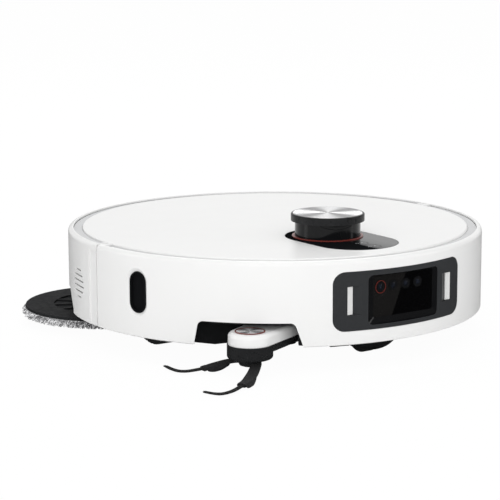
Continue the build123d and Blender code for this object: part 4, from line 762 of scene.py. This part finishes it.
def side_brush():
    """Hub, two soft rubber paddles with a fin underneath, and a curved bundle of bristles on each."""
    tip = centre_of("side_arm_badge")
    hub = bmesh.new()
    lathe(hub, [(r * MM, z * MM) for r, z in HUB_PROFILE], (tip.x, tip.y, 0), segments=HUB_SEGMENTS)
    soften(piece("side_brush_hub", hub, BLACK, "side_brush", ("side_brush",)))
    blades = bmesh.new()
    for path in PADDLE_PATHS:
        points = in_metres(path)

        def blade(t):
            width = PADDLE_WIDE[0] + PADDLE_WIDE[1] * math.sin(math.pi * min(1, t * 1.1))
            return rounded_rectangle(width * MM, (PADDLE_THICK[0] - PADDLE_THICK[1] * t) * MM, 0.8 * MM)

        def fin(t):
            swell = max(0.0, math.sin(math.pi * t)) ** 0.6
            return [(u + FIN_ACROSS, v - (0.6 + 1.7 * swell) * MM)
                    for u, v in rounded_rectangle(1.5 * MM, (1.0 + 3.4 * swell) * MM, 0.35 * MM)]

        def collar(t):
            return rounded_rectangle(*(c * MM for c in COLLAR))

        sweep(blades, points, blade, 28)
        sweep(blades, part_of(points, FIN_SPAN, 5), fin, 20)
        sweep(blades, part_of(points, COLLAR_SPAN, 3), collar, 4)
    clear = FLOOR_Z + 0.4 * MM
    for vertex in blades.verts:
        vertex.co.z = max(vertex.co.z, clear)
    soften(piece("side_brush_paddles", blades, RUBBER, "side_brush", ("side_brush",)))
    rng = random.Random(BRUSH_SEED)
    bristles = bmesh.new()
    for path in BRISTLE_PATHS:
        points = in_metres(path)
        for _ in range(BRISTLES):
            a, spread = rng.uniform(0, 2 * math.pi), math.sqrt(rng.random())
            wide = Vector((math.cos(a) * spread * BUNDLE_HALF[0], math.sin(a) * spread * BUNDLE_HALF[1]))
            last = rng.uniform(0.9, 1.0)

            def placed(t, wide=wide):
                here = spline_point(points, t)
                ahead = spline_point(points, min(1, t + 0.02)) - spline_point(points, max(0, t - 0.02))
                across = Vector((0, 0, 1)).cross(ahead).normalized()
                squeeze = 1.0 - 0.3 * t ** 3
                lifted = here + across * wide.x * MM * squeeze
                lifted.z += wide.y * MM * squeeze
                return lifted

            sweep(bristles, [placed(last * j / 6) for j in range(7)],
                  lambda t: circle_section(BRISTLE_R * (1 - 0.3 * t), 4), 12)
    piece("side_brush_bristle_bundles", bristles, SLOT_FINISHES["bristle"], "side_brush",
          ("side_brush_bristles",))


def badge_ring():
    """A fine red ring round the disc on the arm."""
    low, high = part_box("side_arm_badge")
    centre, r = centre_of("side_arm_badge"), (high.x - low.x) / 2
    ring = bmesh.new()
    inner, outer, foot, top = r + 0.05 * MM, r + 0.9 * MM, high.z - 0.3 * MM, high.z + 0.2 * MM
    profile = [(inner, foot), (outer, foot), (outer, high.z + 0.05 * MM), (r + 0.6 * MM, top), (inner, top)]
    lathe(ring, profile, (centre.x, centre.y, 0), segments=72)
    soften(piece("side_arm_badge_ring", ring, ACCENT, "side_arm"))


# ------------------------------------------------------------------ main brush

ROLLER_HALF = 82.0
CORE_END = ((12.2, 0.0), (13.4, 1.5), (13.4, 5.0), (12.4, 6.0))     # radius, and distance from the end
CORE_BORE = 3.6
SHAFT_IN = 3.2
SHAFT_OUT = 4.0
SHAFT_PAST = 2.6                # the shaft stands this far out of the core
CHEVRON = math.radians(48)      # how far a fin leads from the middle to the end
FINS = 6
FIN_STEPS = 60
FIN_RIBS = 30
FIN_PROFILE = ((12.0, 1.5, False), (15.5, 1.0, False), (18.6, 0.7, True), (19.9, 0.9, True))


def main_brush():
    """A rubber roller with chevron fins on a hollow core, with a cap at each end."""
    centre = centre_of("main_brush")
    end = ROLLER_HALF + SHAFT_PAST
    shaft = [(SHAFT_OUT, -end), (SHAFT_OUT, end), (SHAFT_IN, end), (SHAFT_IN, -end)]
    body = [(r, inset - ROLLER_HALF) for r, inset in CORE_END]
    body += [(r, ROLLER_HALF - inset) for r, inset in reversed(CORE_END)]
    body += [(CORE_BORE, ROLLER_HALF), (CORE_BORE, -ROLLER_HALF)]
    core = bmesh.new()
    lathe(core, [(r * MM, x * MM) for r, x in shaft], centre, "X", 48)
    lathe(core, [(r * MM, x * MM) for r, x in body], centre, "X", 72)
    soften(piece("main_brush_core", core, GREY, "main_brush", ("main_brush",)))
    fins = bmesh.new()
    half = ROLLER_HALF * MM
    start = 2 * MM - half
    for blade in range(FINS):
        rows = []
        for step in range(FIN_STEPS + 1):
            x = start - 2 * start * step / FIN_STEPS
            a = 2 * math.pi * blade / FINS + abs(x) / half * CHEVRON
            out = Vector((0, math.cos(a), math.sin(a)))
            side = Vector((0, -math.sin(a), math.cos(a)))
            ribs = 1.0 - 0.08 * (0.5 + 0.5 * math.cos(2 * math.pi * FIN_RIBS * step / FIN_STEPS))
            row = []
            for reach, thick, ribbed in FIN_PROFILE:
                tip = out * reach * (ribs if ribbed else 1.0)
                row.append((tip + side * thick, tip - side * thick))
            loop = [p for p, _ in row] + [q for _, q in reversed(row)]
            at = Vector((x, centre.y, centre.z))
            rows.append([fins.verts.new(at + p * MM) for p in loop])
        for first, second in zip(rows, rows[1:]):
            count = len(first)
            for k in range(count):
                fins.faces.new((first[k], first[(k + 1) % count], second[(k + 1) % count], second[k]))
        fins.faces.new(rows[0])
        fins.faces.new(rows[-1])
    soften(piece("main_brush_fins", fins, RUBBER, "main_brush", ("main_brush",)))


# ------------------------------------------------------------------ turret, camera lenses and panel marks

SLOT_MIDDLE = math.radians(-110)
SLOT_HALF = math.radians(31)
SLOT_DROP = 3.2 * MM
SLOT_POINTS = 12
LENS_PLACES = (0.0, 12.6 / 37.5, 25.3 / 37.5, 1.0)      # shares of the way from the first lens to the last
BARREL_PROFILE = ((1.0, 0.8), (1.0, 0.3), (0.95, 0.12), (0.86, 0.12), (0.80, 0.42), (0.62, 0.46),
                  (0.60, 0.3), (0.52, 0.3), (0.50, 0.8))
DOME_PROFILE = ((0.2, 0.235), (0.38, 0.3), (0.50, 0.42), (0.50, 0.75))
DOT_R = 0.55 * MM
MARK_LIFT = 0.03 * MM
MARK_HALF = 0.14 * MM


def turret_slot():
    """The curved lower lip of the scanner's opening, on the round wall of the turret under its cap."""
    low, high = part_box("turret_window")
    centre, r = centre_of("turret_window"), (high.x - low.x) / 2
    path = []
    for step in range(SLOT_POINTS + 1):
        share = 2 * step / SLOT_POINTS - 1
        a = SLOT_MIDDLE + SLOT_HALF * share
        z = high.z - 0.4 * MM - SLOT_DROP * (1 - share * share) ** 0.8
        path.append(Vector((centre.x + r * math.cos(a), centre.y + r * math.sin(a), z)))
    rim = bmesh.new()
    sweep(rim, path, lambda t: circle_section(0.22 * MM, 8), 60)
    piece("turret_slot_lip", rim, GLOSS, "chassis")


def camera_lenses():
    """Four stepped lens barrels behind the glass line, each with a domed front element."""
    low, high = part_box("camera_lenses")
    across = high.x - low.x
    lens_r = (high.z - low.z) / 2
    middle = (low.z + high.z) / 2
    barrels, domes = bmesh.new(), bmesh.new()
    ring = [(lens_r * r, depth * MM) for r, depth in BARREL_PROFILE]
    dome = [(lens_r * r, depth * MM) for r, depth in DOME_PROFILE]
    dome = [(0.1 * MM, 0.22 * MM)] + dome + [(0.1 * MM, 0.75 * MM)]
    for share in LENS_PLACES:
        at = (low.x + lens_r + share * (across - 2 * lens_r), low.y, middle)
        lathe(barrels, ring, at, "Y", 56)
        lathe(domes, dome, at, "Y", 56)
    soften(piece("lens_barrels", barrels, GLOSS, "bumper", ("camera_lenses",)))
    piece("lens_domes", domes, SLOT_FINISHES["lens"], "bumper", ("camera_lenses",))


def marks():
    """Plain generic marks on the keys: a ring with a bar, and a small roof shape."""
    for node, shape in (("power_button", "ring"), ("home_button", "roof")):
        low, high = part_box(node)
        centre, top = centre_of(node), high.z
        mesh = bmesh.new()
        left, right = centre + Vector((-2.5 * MM, 0, 0)), centre + Vector((2.5 * MM, 0, 0))
        for at in (left, right):
            at.z = top
        flat = [(-MARK_HALF, 0), (MARK_HALF, 0), (MARK_HALF, MARK_LIFT), (-MARK_HALF, MARK_LIFT)]
        if shape == "ring":
            arc = [left + Vector((math.sin(a), math.cos(a), 0)) * 1.2 * MM
                   for a in [math.radians(40 + 280 * k / 10) for k in range(11)]]
            sweep(mesh, arc, lambda t: flat, 24)
            sweep(mesh, [left + Vector((0, 0.4, 0)) * MM, left + Vector((0, 1.5, 0)) * MM], lambda t: flat, 2)
        else:
            roof = [left + Vector(p) * MM for p in ((-1.3, 0, 0), (0, 1.2, 0), (1.3, 0, 0))]
            sweep(mesh, roof[:2], lambda t: flat, 2)
            sweep(mesh, roof[1:], lambda t: flat, 2)
            corners = ((-0.9, 0, 0), (-0.9, -1.2, 0), (0.9, -1.2, 0), (0.9, 0, 0))
            walls = [left + Vector(p) * MM for p in corners]
            for a, b in zip(walls, walls[1:]):
                sweep(mesh, [a, b], lambda t: flat, 2)
        dot = [(0.1 * MM, MARK_LIFT), (DOT_R, MARK_LIFT), (DOT_R, 0), (0.1 * MM, 0)]
        lathe(mesh, dot, right, "Z", 20)
        piece(f"{node}_mark", mesh, MARK, node)


# ------------------------------------------------------------------ build

finish_cad_nodes()
mop_pad("right", "right_mop")
mop_pad("left", "left_mop")
side_brush()
badge_ring()
main_brush()
turret_slot()
camera_lenses()
marks()


# ------------------------------------------------------------------ studio

VIEW_AZIMUTH = math.radians(-36.1)
VIEW_ELEVATION = math.radians(11.808)
VIEW_DISTANCE = 1.8055
VIEW_TARGET = (0, 0, 0.01478)
VIEW_LENS = 151.99
VIEW_SHIFT = (-0.0501, 0.0875)
DOME_LOW = 0.48
DOME_HIGH = 0.86
FLOOR_HALF = 14
FLOOR_GLOW = 0.97               # the share of the floor's look that is plain white light
LIGHTS = (
    # name, place, target, size, power, options
    ("key", (0.95, 1.25, 1.7), (0, 0, 0), (0.9, 0.9), 12, {}),
    ("top", (-0.3, -0.5, 2.4), (0, 0, 0), (2.4, 2.4), 10, {}),
    ("fill", (-1.25, -1.75, 0.55), (0, 0, 0.03), (1.6, 0.8), 14, {"reflected": False}),
    ("right_fill", (1.5, -1.3, 0.5), (0, 0, 0.03), (0.8, 0.6), 2.5, {"reflected": False}),
    ("left_card", (-1.9, 1.0, 0.55), (0, 0, 0.06), (0.5, 1.3), 5, {"shining": False}),
    ("right_card", (1.7, -1.2, 0.5), (0, 0, 0.06), (0.35, 1.2), 3, {"shining": False}),
)


def studio_floor():
    """Pale paper that keeps only a faint contact shadow, and looks dark in reflections."""
    mesh = bmesh.new()
    bmesh.ops.create_grid(mesh, x_segments=8, y_segments=8, size=FLOOR_HALF)
    data = bpy.data.meshes.new("floor")
    mesh.to_mesh(data)
    mesh.free()
    floor = bpy.data.objects.new("floor", data)
    bpy.context.scene.collection.objects.link(floor)
    floor.location.z = FLOOR_Z
    paper = Finish("floor_paper", (0.93, 0.93, 0.93), 0.9, Specular_IOR_Level=0.0)
    paper.shade(paper.noise(0.4, 2.0), 0.003)
    rays = paper.node("ShaderNodeLightPath")
    glow = paper.node("ShaderNodeEmission")
    glow.inputs["Strength"].default_value = 1.0
    dark = paper.node("ShaderNodeEmission")
    dark.inputs["Strength"].default_value = 0.04
    seen = paper.node("ShaderNodeMixShader")
    seen.inputs["Fac"].default_value = FLOOR_GLOW
    out = paper.tree.nodes["Material Output"]
    bounced = paper.node("ShaderNodeMixShader")
    pick = paper.node("ShaderNodeMixShader")
    paper.link(paper.shader.outputs["BSDF"], seen.inputs[1])
    paper.link(glow.outputs["Emission"], seen.inputs[2])
    paper.link(rays.outputs["Is Glossy Ray"], bounced.inputs["Fac"])
    paper.link(paper.shader.outputs["BSDF"], bounced.inputs[1])
    paper.link(dark.outputs["Emission"], bounced.inputs[2])
    paper.link(rays.outputs["Is Camera Ray"], pick.inputs["Fac"])
    paper.link(bounced.outputs["Shader"], pick.inputs[1])
    paper.link(seen.outputs["Shader"], pick.inputs[2])
    paper.link(pick.outputs["Shader"], out.inputs["Surface"])
    data.materials.append(paper.material)


def studio_world():
    """White to the camera, a soft dome for the light, and in reflections bright only behind the object."""
    world = bpy.data.worlds.new("studio")
    bpy.context.scene.world = world
    world.use_nodes = True
    tree = world.node_tree
    background = tree.nodes["Background"]
    background.inputs["Color"].default_value = (1, 1, 1, 1)
    rays = tree.nodes.new("ShaderNodeLightPath")
    coords = tree.nodes.new("ShaderNodeTexCoord")

    def ramp(direction, low, high, first, last):
        dot = tree.nodes.new("ShaderNodeVectorMath")
        dot.operation = "DOT_PRODUCT"
        tree.links.new(coords.outputs["Generated"], dot.inputs[0])
        dot.inputs[1].default_value = direction
        mapped = tree.nodes.new("ShaderNodeMapRange")
        mapped.interpolation_type = "SMOOTHSTEP"
        tree.links.new(dot.outputs["Value"], mapped.inputs["Value"])
        mapped.inputs["From Min"].default_value = low
        mapped.inputs["From Max"].default_value = high
        mapped.inputs["To Min"].default_value = first
        mapped.inputs["To Max"].default_value = last
        return mapped.outputs["Result"]

    def mix(factor, a, b):
        made = tree.nodes.new("ShaderNodeMix")
        made.data_type = "FLOAT"
        tree.links.new(factor, made.inputs["Factor"])
        for socket, value in (("A", a), ("B", b)):
            if isinstance(value, float):
                made.inputs[socket].default_value = value
            else:
                tree.links.new(value, made.inputs[socket])
        return made.outputs["Result"]

    behind = (math.sin(VIEW_AZIMUTH + math.pi), math.cos(VIEW_AZIMUTH), 0)
    reflected = ramp(behind, 0.3, 0.95, 0.10, 0.85)
    dome = ramp((-0.62, -0.1, 0.55), -0.9, 0.9, DOME_LOW, DOME_HIGH)
    lit = mix(rays.outputs["Is Glossy Ray"], dome, reflected)
    tree.links.new(mix(rays.outputs["Is Camera Ray"], lit, 1.0), background.inputs["Strength"])


def area_light(name, place, target, size, power, reflected=True, shining=True):
    """A softbox, which may be kept out of reflections, or show in nothing but reflections."""
    data = bpy.data.lights.new(name, "AREA")
    data.shape = "RECTANGLE"
    data.size, data.size_y = size
    data.energy = power
    light = bpy.data.objects.new(name, data)
    bpy.context.scene.collection.objects.link(light)
    light.location = place
    light.rotation_euler = (Vector(target) - Vector(place)).to_track_quat("-Z", "Y").to_euler()
    light.visible_camera = False
    light.visible_glossy = reflected
    light.visible_diffuse = shining


def camera():
    data = bpy.data.cameras.new("camera")
    made = bpy.data.objects.new("camera", data)
    bpy.context.scene.collection.objects.link(made)
    target = Vector(VIEW_TARGET)
    back = Vector((math.sin(VIEW_AZIMUTH) * math.cos(VIEW_ELEVATION),
                   -math.cos(VIEW_AZIMUTH) * math.cos(VIEW_ELEVATION), math.sin(VIEW_ELEVATION)))
    made.location = target + back * VIEW_DISTANCE
    made.rotation_mode = "QUATERNION"
    made.rotation_quaternion = (-back).to_track_quat("-Z", "Y")
    data.lens = VIEW_LENS
    data.shift_x, data.shift_y = VIEW_SHIFT
    bpy.context.scene.camera = made


studio_floor()
studio_world()
for light_name, place, target, size, power, options in LIGHTS:
    area_light(light_name, place, target, size, power, **options)
camera()
bpy.context.scene.view_settings.view_transform = "Standard"
